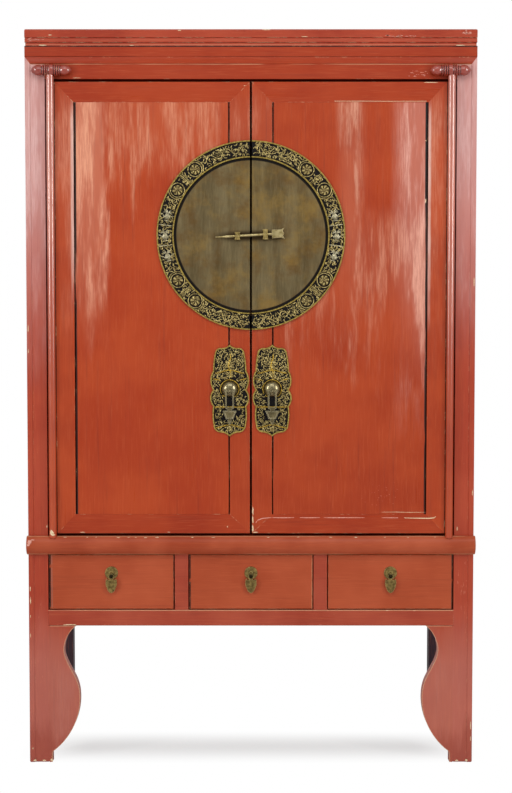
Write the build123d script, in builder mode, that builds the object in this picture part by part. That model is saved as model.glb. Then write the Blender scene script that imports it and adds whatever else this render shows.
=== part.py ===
from build123d import *
import os
from math import atan2, cos, sin

# A tall two-door wedding cabinet in red lacquer: four posts, framed doors that turn on wooden
# pivots, three drawers under a moulded waist, and shaped brackets at the front legs.
# X runs to the right, Y to the back, Z up; the origin is on the floor, in the middle.

os.makedirs("parts", exist_ok=True)

# ---------------------------------------------------------------- driving dimensions, in mm
WIDTH = 1140.0  # over the posts
DEPTH = 560.0  # from the posts' front face to the back
HEIGHT = 1870.0
POST = 50.0  # square posts
PULL_REACH = 31.0  # the door pulls' eyes stand this far in front of the posts
HALF = WIDTH / 2
INNER = HALF - POST  # inner face of a post
FRONT = -(DEPTH - PULL_REACH) / 2  # y of the posts' front face

FIT = 0.25  # room round a tenon, tongue or dovetail
TENON = 24.0  # length of a rail's tenon

LOWER_RAIL = (355.0, 396.0)  # heights of the rails, bottom and top
WAIST_RAIL = (545.0, 588.0)
MOULDING = (541.0, 588.0)
DOOR = (595.0, 1738.0)
HEAD_RAIL = (1746.0, 1828.0)
BAND = (1782.0, 1801.0)  # moulded band on the head rail, mitred into the posts' beads
TOP = (1828.0, HEIGHT)

BEAD_WIDE = 15.0  # bead down the outer edge of a front post
BEAD_PROUD = 2.5
RAIL_THICK = 30.0  # side and back rails
RAIL_SET_BACK = 4.0
PANEL_SET = (12.0, 20.0)  # side and back panels, measured in from the outer face
GROOVE = 8.0

DOOR_FACE = -6.0  # all depths count back from the posts' front face
DOOR_THICK = 28.0
PIVOT_X = 505.0
PIVOT_Y = -10.2
ROD_RADIUS = 9.75
PIVOT_RADIUS = 6.0
PIVOT_PLAY = 0.3
STILE_EDGE = 494.0  # outer edge of the hinge stile's flat
PANEL_OUTER = 447.6  # inner edge of the hinge stile
PANEL_INNER = 53.7  # inner edge of the meeting stile
SEAM = 2.6  # half the gap between the doors
PANEL_Z = (644.0, 1687.0)
PANEL_THICK = 10.0
PANEL_GAP = 2.8  # open joint down each side of a door panel
BATTEN_Z = (744.0, 1030.0, 1299.0, 1600.0)

DISC_Z = 1353.0
DISC_RADIUS = 239.0
DISC_INNER = 195.0
DISC_THICK = 2.0
PULL_X = 54.0
PULL_Z = 960.0
PULL_PIVOT_Y = -26.0
PIN_Y = -18.0

DIVIDER = (160.5, 195.5)
DRAWER_GAP = 2.5
DRAWER_FACE = 2.0
DRAWER_Z = (398.5, 538.5)
DRAWER_LENGTH = 460.0
DRAWER_PULL_Z = 487.5
DRAWER_PULL_Y = -6.0

SIDES = {"left": -1, "right": 1}


# ---------------------------------------------------------------- shared forms
def board(x, y, z, mode=Mode.ADD):
    """A squared piece between three pairs of limits."""
    with Locations((sum(x) / 2, FRONT + sum(y) / 2, sum(z) / 2)):
        Box(abs(x[1] - x[0]), abs(y[1] - y[0]), abs(z[1] - z[0]), mode=mode)


def grown(limits, room=FIT):
    """The same limits with room on both sides, for the mortise of a tenon."""
    low, high = sorted(limits)
    return (low - room, high + room)


def mirrored(side, limits):
    """Limits across the cabinet, given for the right half, on the half that side names."""
    return (side * limits[0], side * limits[1])


def tenon_z(rail):
    """Heights of a rail's tenon: 8 mm shoulders, so that a panel's corner clears it."""
    return (rail[0] + 8.0, rail[1] - 8.0)


def front_plane(depth, x=0.0, z=0.0):
    """A plane facing the viewer: sketch x is X, sketch y is Z, and extrusions come forward."""
    return Plane(origin=(x, FRONT + depth, z), x_dir=(1, 0, 0), z_dir=(0, -1, 0))


def end_plane(x):
    """A plane facing +X for sections: sketch x is the depth, sketch y is Z."""
    return Plane(origin=(x, FRONT, 0), x_dir=(0, 1, 0), z_dir=(1, 0, 0))


def finish(piece, name):
    """Label a finished sub-part and write its STEP file."""
    piece.part.label = name
    export_step(piece.part, f"parts/{name}.step")


# side rails meet the posts at three heights; the top one stops under the mitred band
SIDE_TENONS = (tenon_z(LOWER_RAIL), tenon_z(WAIST_RAIL), (1756.0, 1776.0))
SIDE_TENON_SET = (12.0, 24.0)  # in from the outer face
FRONT_TENON_SET = (14.0, 26.0)  # back from the front face
LOWER_PANEL_Z = (LOWER_RAIL[1] - 7.5, WAIST_RAIL[0] + 7.5)
UPPER_PANEL_Z = (WAIST_RAIL[1] - 7.5, HEAD_RAIL[0] + 7.5)


def cut_side_joints(side, near):
    """Mortises and panel grooves for the side rails; near maps 0..POST to the post's depth."""
    x = mirrored(side, (HALF - SIDE_TENON_SET[0], HALF - SIDE_TENON_SET[1]))
    for z in SIDE_TENONS:
        board(grown(x), near(POST - TENON - FIT, POST), grown(z), Mode.SUBTRACT)
    x = mirrored(side, (HALF - PANEL_SET[0], HALF - PANEL_SET[1]))
    for z in (LOWER_PANEL_Z, UPPER_PANEL_Z):
        board(grown(x), near(POST - GROOVE, POST), grown(z), Mode.SUBTRACT)


def cut_cross_joints(side, near, tenons):
    """Mortises for the rails that run across the cabinet."""
    x = mirrored(side, (INNER, INNER + TENON + FIT))
    for z in tenons:
        board(x, near(FRONT_TENON_SET[0] - FIT, FRONT_TENON_SET[1] + FIT), grown(z), Mode.SUBTRACT)


# ---------------------------------------------------------------- posts
POST_TENON_X = (530.0, 550.0)
POST_TENON_Y = (15.0, 35.0)
POST_TENON_Z = (BAND[0], BAND[0] + 30.0)


def front_depth(a, b):
    return (a, b)


def back_depth(a, b):
    return (DEPTH - a, DEPTH - b)


for name, side in SIDES.items():
    with BuildPart() as front_post:
        with BuildSketch(Plane.XY.offset(0)) as plan:
            with BuildLine():
                bead = HALF - BEAD_WIDE
                corners = [
                    (INNER, POST),
                    (INNER, 0),
                    (bead, 0),
                    (bead + BEAD_PROUD, -BEAD_PROUD),
                    (HALF, -BEAD_PROUD),
                    (HALF, POST),
                ]
                Polyline([(side * x, FRONT + y) for x, y in corners], close=True)
            make_face()
            fillet(plan.vertices().group_by(Axis.Y)[0], radius=2.4)
        extrude(amount=BAND[1])
        # the bead runs up into a mitre against the head rail's band
        with BuildSketch(front_plane(POST)):
            with BuildLine():
                mitre = [
                    (INNER - 5, BAND[0]),
                    (bead, BAND[0]),
                    (HALF, BAND[1]),
                    (HALF, BAND[1] + 5),
                    (INNER - 5, BAND[1] + 5),
                ]
                Polyline([(side * x, z) for x, z in mitre], close=True)
            make_face()
        extrude(amount=POST + 5, mode=Mode.SUBTRACT)
        board(mirrored(side, POST_TENON_X), POST_TENON_Y, POST_TENON_Z)
        cut_side_joints(side, front_depth)
        cut_cross_joints(side, front_depth, (tenon_z(LOWER_RAIL), tenon_z(WAIST_RAIL)))
        chamfer(front_post.edges().group_by(Axis.Z)[0], length=2.0)
    finish(front_post, f"front_{name}_post")

    with BuildPart() as back_post:
        with BuildSketch(Plane.XY.offset(0)) as plan:
            with Locations((side * (HALF - POST / 2), FRONT + DEPTH - POST / 2)):
                RectangleRounded(POST, POST, 2.5)
        extrude(amount=TOP[0])
        cut_side_joints(side, back_depth)
        back_tenons = (tenon_z(LOWER_RAIL), tenon_z(WAIST_RAIL), tenon_z(HEAD_RAIL))
        cut_cross_joints(side, back_depth, back_tenons)
        groove_x = mirrored(side, (INNER, INNER + GROOVE))
        for z in (LOWER_PANEL_Z, UPPER_PANEL_Z):
            groove_y = back_depth(PANEL_SET[0] - FIT, PANEL_SET[1] + FIT)
            board(groove_x, groove_y, grown(z), Mode.SUBTRACT)
        chamfer(back_post.edges().group_by(Axis.Z)[0], length=2.0)
    finish(back_post, f"back_{name}_post")

# ---------------------------------------------------------------- front rails
with BuildPart() as front_head_rail:
    with BuildSketch(front_plane(45)):
        with BuildLine():
            bead = HALF - BEAD_WIDE
            half_outline = [
                (0, HEAD_RAIL[0]),
                (INNER, HEAD_RAIL[0]),
                (INNER, BAND[0]),
                (bead, BAND[0]),
                (HALF, BAND[1]),
                (HALF, HEAD_RAIL[1]),
                (0, HEAD_RAIL[1]),
            ]
            Polyline(half_outline)
            mirror(about=Plane.YZ)
        make_face()
    extrude(amount=45)
    with BuildSketch(front_plane(POST)):
        with Locations((0, (BAND[0] + HEAD_RAIL[1]) / 2)):
            Rectangle(2 * bead, HEAD_RAIL[1] - BAND[0])
    extrude(amount=POST - 45)
    # moulded face: a rounded band over the mitres, a quirk, and the plain fascia above it
    with BuildSketch(end_plane(-HALF)):
        with BuildLine():
            lower = (0, BAND[0])
            nose = (-BEAD_PROUD, BAND[0] + 3)
            quirk = (-BEAD_PROUD + 1.5, BAND[1] - 0.5)
            Line((0.5, BAND[0]), lower)
            Line(lower, nose)
            ThreePointArc(nose, (-BEAD_PROUD - 0.4, BAND[0] + 9), quirk)
            fascia = (-BEAD_PROUD, BAND[1] + 1.5)
            Line(quirk, fascia)
            Polyline(fascia, (-BEAD_PROUD, HEAD_RAIL[1]), (0.5, HEAD_RAIL[1]), (0.5, BAND[0]))
        make_face()
    extrude(amount=WIDTH)
    for side in SIDES.values():
        with BuildSketch(front_plane(POST)):
            with BuildLine():
                corner = [(bead, BAND[0]), (HALF, BAND[1]), (HALF + 5, BAND[1]), (HALF + 5, BAND[0])]
                Polyline([(side * x, z) for x, z in corner], close=True)
            make_face()
        extrude(amount=POST + 5, mode=Mode.SUBTRACT)
        tenon_x = mirrored(side, POST_TENON_X)
        board(grown(tenon_x), grown(POST_TENON_Y), (BAND[0] - 1, POST_TENON_Z[1] + FIT), Mode.SUBTRACT)
finish(front_head_rail, "front_head_rail")

RAIL_DEEP = 45.0
FLOOR_Z = (570.0, WAIST_RAIL[1])
FLOOR_LAP = 10.0
DIVIDER_TENON = 10.0
DIVIDER_TENON_SET = (8.0, 22.0)
DIVIDER_TENON_X = (DIVIDER[0] + 6.0, DIVIDER[1] - 6.0)

for name, rail in (("front_waist_rail", WAIST_RAIL), ("front_lower_rail", LOWER_RAIL)):
    with BuildPart() as front_rail:
        board((-INNER, INNER), (0, RAIL_DEEP), rail)
        board((-INNER - TENON, INNER + TENON), FRONT_TENON_SET, tenon_z(rail))
        if rail is WAIST_RAIL:
            lap = (RAIL_DEEP - FLOOR_LAP, RAIL_DEEP)
            board((-INNER, INNER), lap, FLOOR_Z, Mode.SUBTRACT)
            mortise_z = (rail[0], rail[0] + DIVIDER_TENON + FIT)
        else:
            mortise_z = (rail[1] - DIVIDER_TENON - FIT, rail[1])
            front_edges = front_rail.edges().filter_by(Axis.X).group_by(Axis.Y)[0]
            chamfer(front_edges, length=1.5)
        for side in SIDES.values():
            tenon_x = mirrored(side, DIVIDER_TENON_X)
            board(grown(tenon_x), grown(DIVIDER_TENON_SET), mortise_z, Mode.SUBTRACT)
    finish(front_rail, name)

# half-round waist moulding: a front length on the posts' faces and a thin return on each side
MOULDING_REACH = 22.0
MOULDING_SIDE = 3.0
MITRE_GAP = 0.2  # open joint where a separate length meets the next
ROD_SOCKET = 4.0  # the rods' feet stand this deep in the moulding
SOCKET_Z = 565.0

with BuildPart() as waist_moulding:
    with BuildSketch(end_plane(-HALF - MOULDING_SIDE)):
        with BuildLine():
            middle = sum(MOULDING) / 2
            Polyline((0, MOULDING[0]), (0, MOULDING[1]), (-9, MOULDING[1]))
            ThreePointArc((-9, MOULDING[1]), (-MOULDING_REACH, middle + 1), (-8, MOULDING[0]))
            Line((-8, MOULDING[0]), (0, MOULDING[0]))
        make_face()
    extrude(amount=WIDTH + 2 * MOULDING_SIDE)
    ends = waist_moulding.faces().filter_by(Plane.YZ)
    chamfer(ends.edges().filter_by(GeomType.CIRCLE), length=1.5)
    for side in SIDES.values():
        bead_x = mirrored(side, (HALF - BEAD_WIDE, HALF))
        board(grown(bead_x), (-BEAD_PROUD - FIT, 0), MOULDING, Mode.SUBTRACT)
        foot = (side * PIVOT_X, FRONT + PIVOT_Y)
        with BuildSketch(Plane.XY.offset(MOULDING[1] - ROD_SOCKET)):
            with Locations(foot):
                Circle(ROD_RADIUS + PIVOT_PLAY)
        extrude(amount=ROD_SOCKET, mode=Mode.SUBTRACT)
        with BuildSketch(Plane.XY.offset(SOCKET_Z)):
            with Locations(foot):
                Circle(PIVOT_RADIUS + PIVOT_PLAY)
        extrude(amount=MOULDING[1] - SOCKET_Z, mode=Mode.SUBTRACT)
        return_start = FRONT + MITRE_GAP
        outward = Plane(origin=(side * HALF, return_start, 0), x_dir=(side, 0, 0), z_dir=(0, -side, 0))
        with BuildSketch(outward):
            with BuildLine():
                low, high = (0, MOULDING[0]), (0, MOULDING[1])
                Line(low, high)
                ThreePointArc(high, (MOULDING_SIDE, middle), low)
            make_face()
        extrude(amount=-side * (DEPTH - MITRE_GAP))
finish(waist_moulding, "waist_moulding")

with BuildPart() as drawer_dividers:
    for side in SIDES.values():
        board(mirrored(side, DIVIDER), (0, RAIL_DEEP), (LOWER_RAIL[1], WAIST_RAIL[0]))
        tenon_ends = (LOWER_RAIL[1] - DIVIDER_TENON, WAIST_RAIL[0] + DIVIDER_TENON)
        board(mirrored(side, DIVIDER_TENON_X), DIVIDER_TENON_SET, tenon_ends)
    chamfer(drawer_dividers.edges().filter_by(Axis.Z).group_by(Axis.Y)[0], length=1.5)
finish(drawer_dividers, "drawer_dividers")

# ---------------------------------------------------------------- side and back rails, panels
RAILS = (LOWER_RAIL, WAIST_RAIL, HEAD_RAIL)
SIDE_SPAN = (POST, DEPTH - POST)
RAIL_SET = (RAIL_SET_BACK, RAIL_SET_BACK + RAIL_THICK)


def rail_grooves(index, lay):
    """Panel grooves in the rail's edges: below it except on the lowest, above it except on the top."""
    low, high = RAILS[index]
    if index > 0:
        lay((low, low + GROOVE))
    if index < 2:
        lay((high - GROOVE, high))


with BuildPart() as side_rails:
    for side in SIDES.values():
        groove_x = mirrored(side, (HALF - PANEL_SET[0] + FIT, HALF - PANEL_SET[1] - FIT))

        def side_groove(z):
            board(groove_x, SIDE_SPAN, z, Mode.SUBTRACT)

        for index, rail in enumerate(RAILS):
            board(mirrored(side, (HALF - RAIL_SET[0], HALF - RAIL_SET[1])), SIDE_SPAN, rail)
            tenon_x = mirrored(side, (HALF - SIDE_TENON_SET[0], HALF - SIDE_TENON_SET[1]))
            board(tenon_x, (POST - TENON, DEPTH - POST + TENON), SIDE_TENONS[index])
            rail_grooves(index, side_groove)
        lap_x = mirrored(side, (HALF - RAIL_SET[1], HALF - RAIL_SET[1] + FLOOR_LAP))
        board(lap_x, SIDE_SPAN, FLOOR_Z, Mode.SUBTRACT)
finish(side_rails, "side_rails")

with BuildPart() as back_rails:
    groove_y = back_depth(PANEL_SET[0] - FIT, PANEL_SET[1] + FIT)

    def back_groove(z):
        board((-INNER, INNER), groove_y, z, Mode.SUBTRACT)

    for index, rail in enumerate(RAILS):
        board((-INNER, INNER), back_depth(*RAIL_SET), rail)
        board((-INNER - TENON, INNER + TENON), back_depth(*FRONT_TENON_SET), tenon_z(rail))
        rail_grooves(index, back_groove)
    lap_y = back_depth(RAIL_SET[1] - FLOOR_LAP, RAIL_SET[1])
    board((-INNER, INNER), lap_y, FLOOR_Z, Mode.SUBTRACT)
finish(back_rails, "back_rails")

for name, side in SIDES.items():
    with BuildPart() as side_panels:
        panel_x = mirrored(side, (HALF - PANEL_SET[0], HALF - PANEL_SET[1]))
        for z in (LOWER_PANEL_Z, UPPER_PANEL_Z):
            board(panel_x, (SIDE_SPAN[0] - 7.5, SIDE_SPAN[1] + 7.5), z)
    finish(side_panels, f"{name}_side_panels")

with BuildPart() as back_panels:
    for z in (LOWER_PANEL_Z, UPPER_PANEL_Z):
        board((-INNER - 7.5, INNER + 7.5), back_depth(*PANEL_SET), z)
finish(back_panels, "back_panels")

# ---------------------------------------------------------------- top: mitred frame and panel
TOP_MEMBER = 75.0
# each layer of the top's edge: its two heights, how far it stands in, and its rounding
TOP_LAYERS = ((TOP[0], 1837.0, 2.0, 3.0), (1837.0, 1849.0, 0.5, 4.0), (1849.0, HEIGHT, 0.0, 4.0))
TOP_PANEL_Z = (1853.0, 1869.0)
TOP_GROOVE_Z = (1855.0, 1863.0)
TOP_DEEP = DEPTH + BEAD_PROUD
TOP_MIDDLE = FRONT + (DEPTH - BEAD_PROUD) / 2

with BuildPart() as top_frame:
    # stacked mouldings round the edge: a small bead, a larger bead and the fascia
    for low, high, inset, roundness in TOP_LAYERS:
        with BuildSketch(Plane.XY.offset(low)):
            with Locations((0, TOP_MIDDLE)):
                Rectangle(WIDTH - 2 * inset, TOP_DEEP - 2 * inset)
        extrude(amount=high - low)
        upper_face = top_frame.faces().filter_by(Axis.Z).sort_by(Axis.Z)[-1]
        fillet(upper_face.edges(), radius=roundness)
    opening_x = HALF - TOP_MEMBER
    opening_y = (-BEAD_PROUD + TOP_MEMBER, DEPTH - TOP_MEMBER)
    board((-opening_x, opening_x), opening_y, TOP, Mode.SUBTRACT)
    tongue_y = (opening_y[0] - GROOVE, opening_y[1] + GROOVE)
    board((-opening_x - GROOVE, opening_x + GROOVE), tongue_y, grown(TOP_GROOVE_Z), Mode.SUBTRACT)
    # saw cuts along the four mitres part the frame into its members
    for sx in SIDES.values():
        for sy, edge in ((1, -BEAD_PROUD), (-1, DEPTH)):
            start = Vector(sx * HALF, FRONT + edge, TOP[0])
            inward = Vector(-sx, sy, 0)
            saw = Plane(origin=start, x_dir=inward, z_dir=(0, 0, 1))
            with BuildSketch(saw):
                with Locations((TOP_MEMBER / 2, 0)):
                    Rectangle(TOP_MEMBER * 2.2, MITRE_GAP)
            extrude(amount=TOP[1] - TOP[0], mode=Mode.SUBTRACT)
finish(top_frame, "top_frame")

with BuildPart() as top_panel:
    board((-opening_x + 0.5, opening_x - 0.5), (opening_y[0] + 0.5, opening_y[1] - 0.5), TOP_PANEL_Z)
    board((-opening_x - 7.5, opening_x + 7.5), (opening_y[0] - 7.5, opening_y[1] + 7.5), TOP_GROOVE_Z)
finish(top_panel, "top_panel")

# ---------------------------------------------------------------- inside
SHELF_Z = (1150.0, 1168.0)
BEARER = 20.0


def notched_board(half_x, y, z, inner_x):
    """A board with its four corners cut out round the posts."""
    board((-half_x, half_x), (POST + 0.5, DEPTH - POST - 0.5), z)
    board((-inner_x, inner_x), y, z)


with BuildPart() as cupboard_floor:
    lap_edge = HALF - RAIL_SET[1] + FLOOR_LAP - 0.5
    floor_y = (RAIL_DEEP - FLOOR_LAP + 0.5, DEPTH - RAIL_SET[1] + FLOOR_LAP - 0.5)
    notched_board(lap_edge, floor_y, FLOOR_Z, INNER - 0.5)
finish(cupboard_floor, "cupboard_floor")

with BuildPart() as shelf:
    shelf_edge = HALF - PANEL_SET[1] - 0.5
    notched_board(shelf_edge, (28.0, DEPTH - PANEL_SET[1] - 0.5), SHELF_Z, INNER - 0.5)
finish(shelf, "shelf")

with BuildPart() as shelf_bearers:
    for side in SIDES.values():
        bearer_x = mirrored(side, (shelf_edge - BEARER, shelf_edge))
        board(bearer_x, SIDE_SPAN, (SHELF_Z[0] - BEARER, SHELF_Z[0]))
    back_edge = DEPTH - PANEL_SET[1] - 0.5
    board((-INNER, INNER), (back_edge - BEARER, back_edge), (SHELF_Z[0] - BEARER, SHELF_Z[0]))
finish(shelf_bearers, "shelf_bearers")

RUNNER_THICK = 18.0
GUIDE_TALL = 22.0
RUNNER_SPAN = (RAIL_DEEP, DEPTH - RAIL_SET[1])

with BuildPart() as drawer_runners:
    runner_z = (LOWER_RAIL[1] - RUNNER_THICK, LOWER_RAIL[1])
    for side in SIDES.values():
        board(mirrored(side, (DIVIDER[0] - 28, DIVIDER[1] + 28)), RUNNER_SPAN, runner_z)
        wall = (INNER - 30, HALF - RAIL_SET[1])
        board(mirrored(side, wall), (POST + 0.5, DEPTH - POST - 0.5), runner_z)
        board(mirrored(side, (INNER - 30, INNER - 0.5)), RUNNER_SPAN, runner_z)
finish(drawer_runners, "drawer_runners")

with BuildPart() as drawer_guides:
    guide_z = (LOWER_RAIL[1], LOWER_RAIL[1] + GUIDE_TALL)
    for side in SIDES.values():
        board(mirrored(side, (DIVIDER[0] + 2.5, DIVIDER[1] - 2.5)), RUNNER_SPAN, guide_z)
        wall = (INNER + 0.5, HALF - RAIL_SET[1])
        board(mirrored(side, wall), (POST + 0.5, DEPTH - POST - 0.5), guide_z)
finish(drawer_guides, "drawer_guides")

# ---------------------------------------------------------------- shaped leg brackets
BRACKET_THICK = 28.0

for name, side in SIDES.items():
    with BuildPart() as leg_bracket:
        with BuildSketch(front_plane(BRACKET_THICK)):
            with BuildLine():

                def at(offset, z):
                    """A point given by its distance in from the post's outer face."""
                    return (side * (HALF - offset), z)

                Polyline(at(60, 28), at(58, 22), at(58, 0), at(POST, 0), at(POST, LOWER_RAIL[0]))
                Line(at(POST, LOWER_RAIL[0]), at(121, LOWER_RAIL[0]))
                Spline(
                    at(121, LOWER_RAIL[0]),
                    at(98, 327),
                    at(89.5, 290),
                    at(105, 246),
                    at(124, 207),
                    at(130, 165),
                    at(121, 112),
                    at(92, 59),
                    at(60, 28),
                )
            make_face()
        extrude(amount=BRACKET_THICK)
    finish(leg_bracket, f"{name}_leg_bracket")

# ---------------------------------------------------------------- turned pivot blocks
BLOCK_X = 501.5
BLOCK_Z = 1766.0
BLOCK_HALF = 51.5
BLOCK_RADIUS = 15.6
BEARING_FOOT = BLOCK_Z - BLOCK_RADIUS - 4  # the bearing's cut starts clear of the block
ROD_TOP = BLOCK_Z - 12.3
PIVOT_TOP = BLOCK_Z + 10.0

for name, side in SIDES.items():
    with BuildPart() as pivot_block:
        centre = (side * BLOCK_X, FRONT + PIVOT_Y, BLOCK_Z)
        facing = Plane(origin=centre, x_dir=(1, 0, 0), z_dir=(0, -1, 0))
        # turned front half: a barrel, two ring beads and a bud, from the middle outwards
        with BuildSketch(facing) as section:
            with BuildLine():
                barrel = [(0, BLOCK_RADIUS), (6.2, BLOCK_RADIUS)]
                beads = [(7.4, 12.8), (10.6, 15), (13.8, 12.6), (17.4, 14.4), (21, 11.4)]
                bud = [(29, 13.2), (43, 10.4), (BLOCK_HALF, 4), (BLOCK_HALF, 0)]
                Polyline(barrel + beads + bud)
                mirror(about=Plane.YZ)
                Line((-BLOCK_HALF, 0), (BLOCK_HALF, 0))
            make_face()
        revolve(section.sketch, axis=Axis(centre, (1, 0, 0)), revolution_arc=180)
        # straight-sided back half, as far as the head rail
        with BuildSketch(facing):
            add(section.sketch_local)
            mirror(about=Plane.XZ)
        extrude(amount=PIVOT_Y)
        # blind bearing for the door's rod and its top pivot
        for radius, top in ((ROD_RADIUS, ROD_TOP + PIVOT_PLAY), (PIVOT_RADIUS, PIVOT_TOP + 0.5)):
            with BuildSketch(Plane.XY.offset(BEARING_FOOT)):
                with Locations((side * PIVOT_X, FRONT + PIVOT_Y)):
                    Circle(radius + PIVOT_PLAY)
            extrude(amount=top - BEARING_FOOT, mode=Mode.SUBTRACT)
    finish(pivot_block, f"{name}_pivot_block")

# ---------------------------------------------------------------- doors
DOOR_SPAN = (DOOR_FACE, DOOR_FACE + DOOR_THICK)
DOOR_TENON_SET = (4.0, 13.0)
CORNER_TENON = 22.0
ROD_Z = (MOULDING[1] - ROD_SOCKET + PIVOT_PLAY, ROD_TOP)
PIVOT_Z = (SOCKET_Z + 0.5, PIVOT_TOP)
BATTEN_TALL = 28.0
BATTEN_DEPTH = (DOOR_FACE + PANEL_THICK, DOOR_FACE + PANEL_THICK + 14.0)
KEY_DEEP = 3.4
TOP_TENON_Z = (PANEL_Z[1] + 6, PANEL_Z[1] + 26)
BOTTOM_TENON_Z = (PANEL_Z[0] - 26, PANEL_Z[0] - 6)


def batten_tenons(side, ends, room):
    """Tenons of the panel battens, or with room and ends in a stile, their mortises."""
    for z in BATTEN_Z:
        low, high = z - 11 - room, z + 11 + room
        yield (mirrored(side, ends), (BATTEN_DEPTH[0] + 3 - room, BATTEN_DEPTH[1] - 3 + room), (low, high))


def batten_key(x_ends, z, room, mode):
    """Sliding dovetail between a batten and the back of the panel."""
    with BuildSketch(end_plane(min(x_ends))) as key:
        with BuildLine():
            root, tip = BATTEN_DEPTH[0], BATTEN_DEPTH[0] - KEY_DEEP - room
            narrow, wide = 6.5 + room, 9.5 + room
            Polyline((root, z - narrow), (tip, z - wide), (tip, z + wide), (root, z + narrow), close=True)
        make_face()
    extrude(key.sketch, amount=abs(x_ends[1] - x_ends[0]), mode=mode)


for name, side in SIDES.items():
    panel_x = mirrored(side, (PANEL_OUTER - PANEL_GAP, PANEL_INNER + PANEL_GAP))

    # hinge stile: the flat, the pivot rod worked along its edge, and a dowel pivot at each end
    with BuildPart() as hinge_stile:
        with BuildSketch(front_plane(DOOR_SPAN[1])):
            with BuildLine():
                outline = [
                    (PIVOT_X, DOOR[0]),
                    (STILE_EDGE, DOOR[0]),
                    (PANEL_OUTER, PANEL_Z[0]),
                    (PANEL_OUTER, PANEL_Z[1]),
                    (STILE_EDGE, DOOR[1]),
                    (PIVOT_X, DOOR[1]),
                ]
                Polyline([(side * x, z) for x, z in outline], close=True)
            make_face()
        extrude(amount=DOOR_THICK)
        for radius, ends in ((ROD_RADIUS, ROD_Z), (PIVOT_RADIUS, PIVOT_Z)):
            with BuildSketch(Plane.XY.offset(ends[0])):
                with Locations((side * PIVOT_X, FRONT + PIVOT_Y)):
                    Circle(radius)
            extrude(amount=ends[1] - ends[0])
        # a quirk parts the rod from the flat
        quirk_x = mirrored(side, (STILE_EDGE, PIVOT_X - ROD_RADIUS + 0.2))
        board(quirk_x, (DOOR_FACE, DOOR_FACE + 2.5), DOOR, Mode.SUBTRACT)
        for z in (TOP_TENON_Z, BOTTOM_TENON_Z):
            mortise_x = mirrored(side, (PANEL_OUTER - 1, PANEL_OUTER + CORNER_TENON + FIT))
            board(mortise_x, grown(DOOR_TENON_SET), grown(z), Mode.SUBTRACT)
        for limits in batten_tenons(side, (PANEL_OUTER - 1, PANEL_OUTER + 12 + FIT), FIT):
            board(*limits, Mode.SUBTRACT)
    finish(hinge_stile, f"{name}_hinge_stile")

    with BuildPart() as meeting_stile:
        with BuildSketch(front_plane(DOOR_SPAN[1])):
            with BuildLine():
                outline = [
                    (SEAM, DOOR[0]),
                    (PANEL_INNER, PANEL_Z[0]),
                    (PANEL_INNER, PANEL_Z[1]),
                    (SEAM, DOOR[1]),
                ]
                Polyline([(side * x, z) for x, z in outline], close=True)
            make_face()
        extrude(amount=DOOR_THICK)
        for z in (TOP_TENON_Z, BOTTOM_TENON_Z):
            mortise_x = mirrored(side, (PANEL_INNER + 1, PANEL_INNER - CORNER_TENON - FIT))
            board(mortise_x, grown(DOOR_TENON_SET), grown(z), Mode.SUBTRACT)
        for limits in batten_tenons(side, (PANEL_INNER + 1, PANEL_INNER - 12 - FIT), FIT):
            board(*limits, Mode.SUBTRACT)
    finish(meeting_stile, f"{name}_meeting_stile")

    # top and bottom rails, mitred at the face with a tenon hidden behind each mitre
    with BuildPart() as door_rails:
        for outer_z, inner_z, tenon in (
            (DOOR[1], PANEL_Z[1], TOP_TENON_Z),
            (DOOR[0], PANEL_Z[0], BOTTOM_TENON_Z),
        ):
            with BuildSketch(front_plane(DOOR_SPAN[1])):
                with BuildLine():
                    outline = [
                        (STILE_EDGE, outer_z),
                        (PANEL_OUTER, inner_z),
                        (PANEL_INNER, inner_z),
                        (SEAM, outer_z),
                    ]
                    Polyline([(side * x, z) for x, z in outline], close=True)
                make_face()
            extrude(amount=DOOR_THICK)
            tenon_x = mirrored(side, (PANEL_OUTER + CORNER_TENON, PANEL_INNER - CORNER_TENON))
            board(tenon_x, DOOR_TENON_SET, tenon)
            inward = 1 if outer_z > inner_z else -1
            groove_y = (DOOR_FACE + 3.5 - FIT, DOOR_FACE + 8.5 + FIT)
            board(grown(panel_x), groove_y, (inner_z, inner_z + inward * 8), Mode.SUBTRACT)
    finish(door_rails, f"{name}_door_rails")

    with BuildPart() as door_panel:
        board(panel_x, (DOOR_FACE, DOOR_FACE + PANEL_THICK), PANEL_Z)
        board(panel_x, (DOOR_FACE + 3.5, DOOR_FACE + 8.5), (PANEL_Z[0] - 7.5, PANEL_Z[1] + 7.5))
        for z in BATTEN_Z:
            batten_key(grown(panel_x, 1), z, FIT, Mode.SUBTRACT)
    finish(door_panel, f"{name}_door_panel")

    with BuildPart() as door_battens:
        shoulders = mirrored(side, (PANEL_OUTER - 0.5, PANEL_INNER + 0.5))
        for z in BATTEN_Z:
            board(shoulders, BATTEN_DEPTH, (z - BATTEN_TALL / 2, z + BATTEN_TALL / 2))
            batten_key(shoulders, z, 0, Mode.ADD)
        for limits in batten_tenons(side, (PANEL_OUTER + 12, PANEL_INNER - 12), 0):
            board(*limits)
    finish(door_battens, f"{name}_door_battens")

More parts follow.
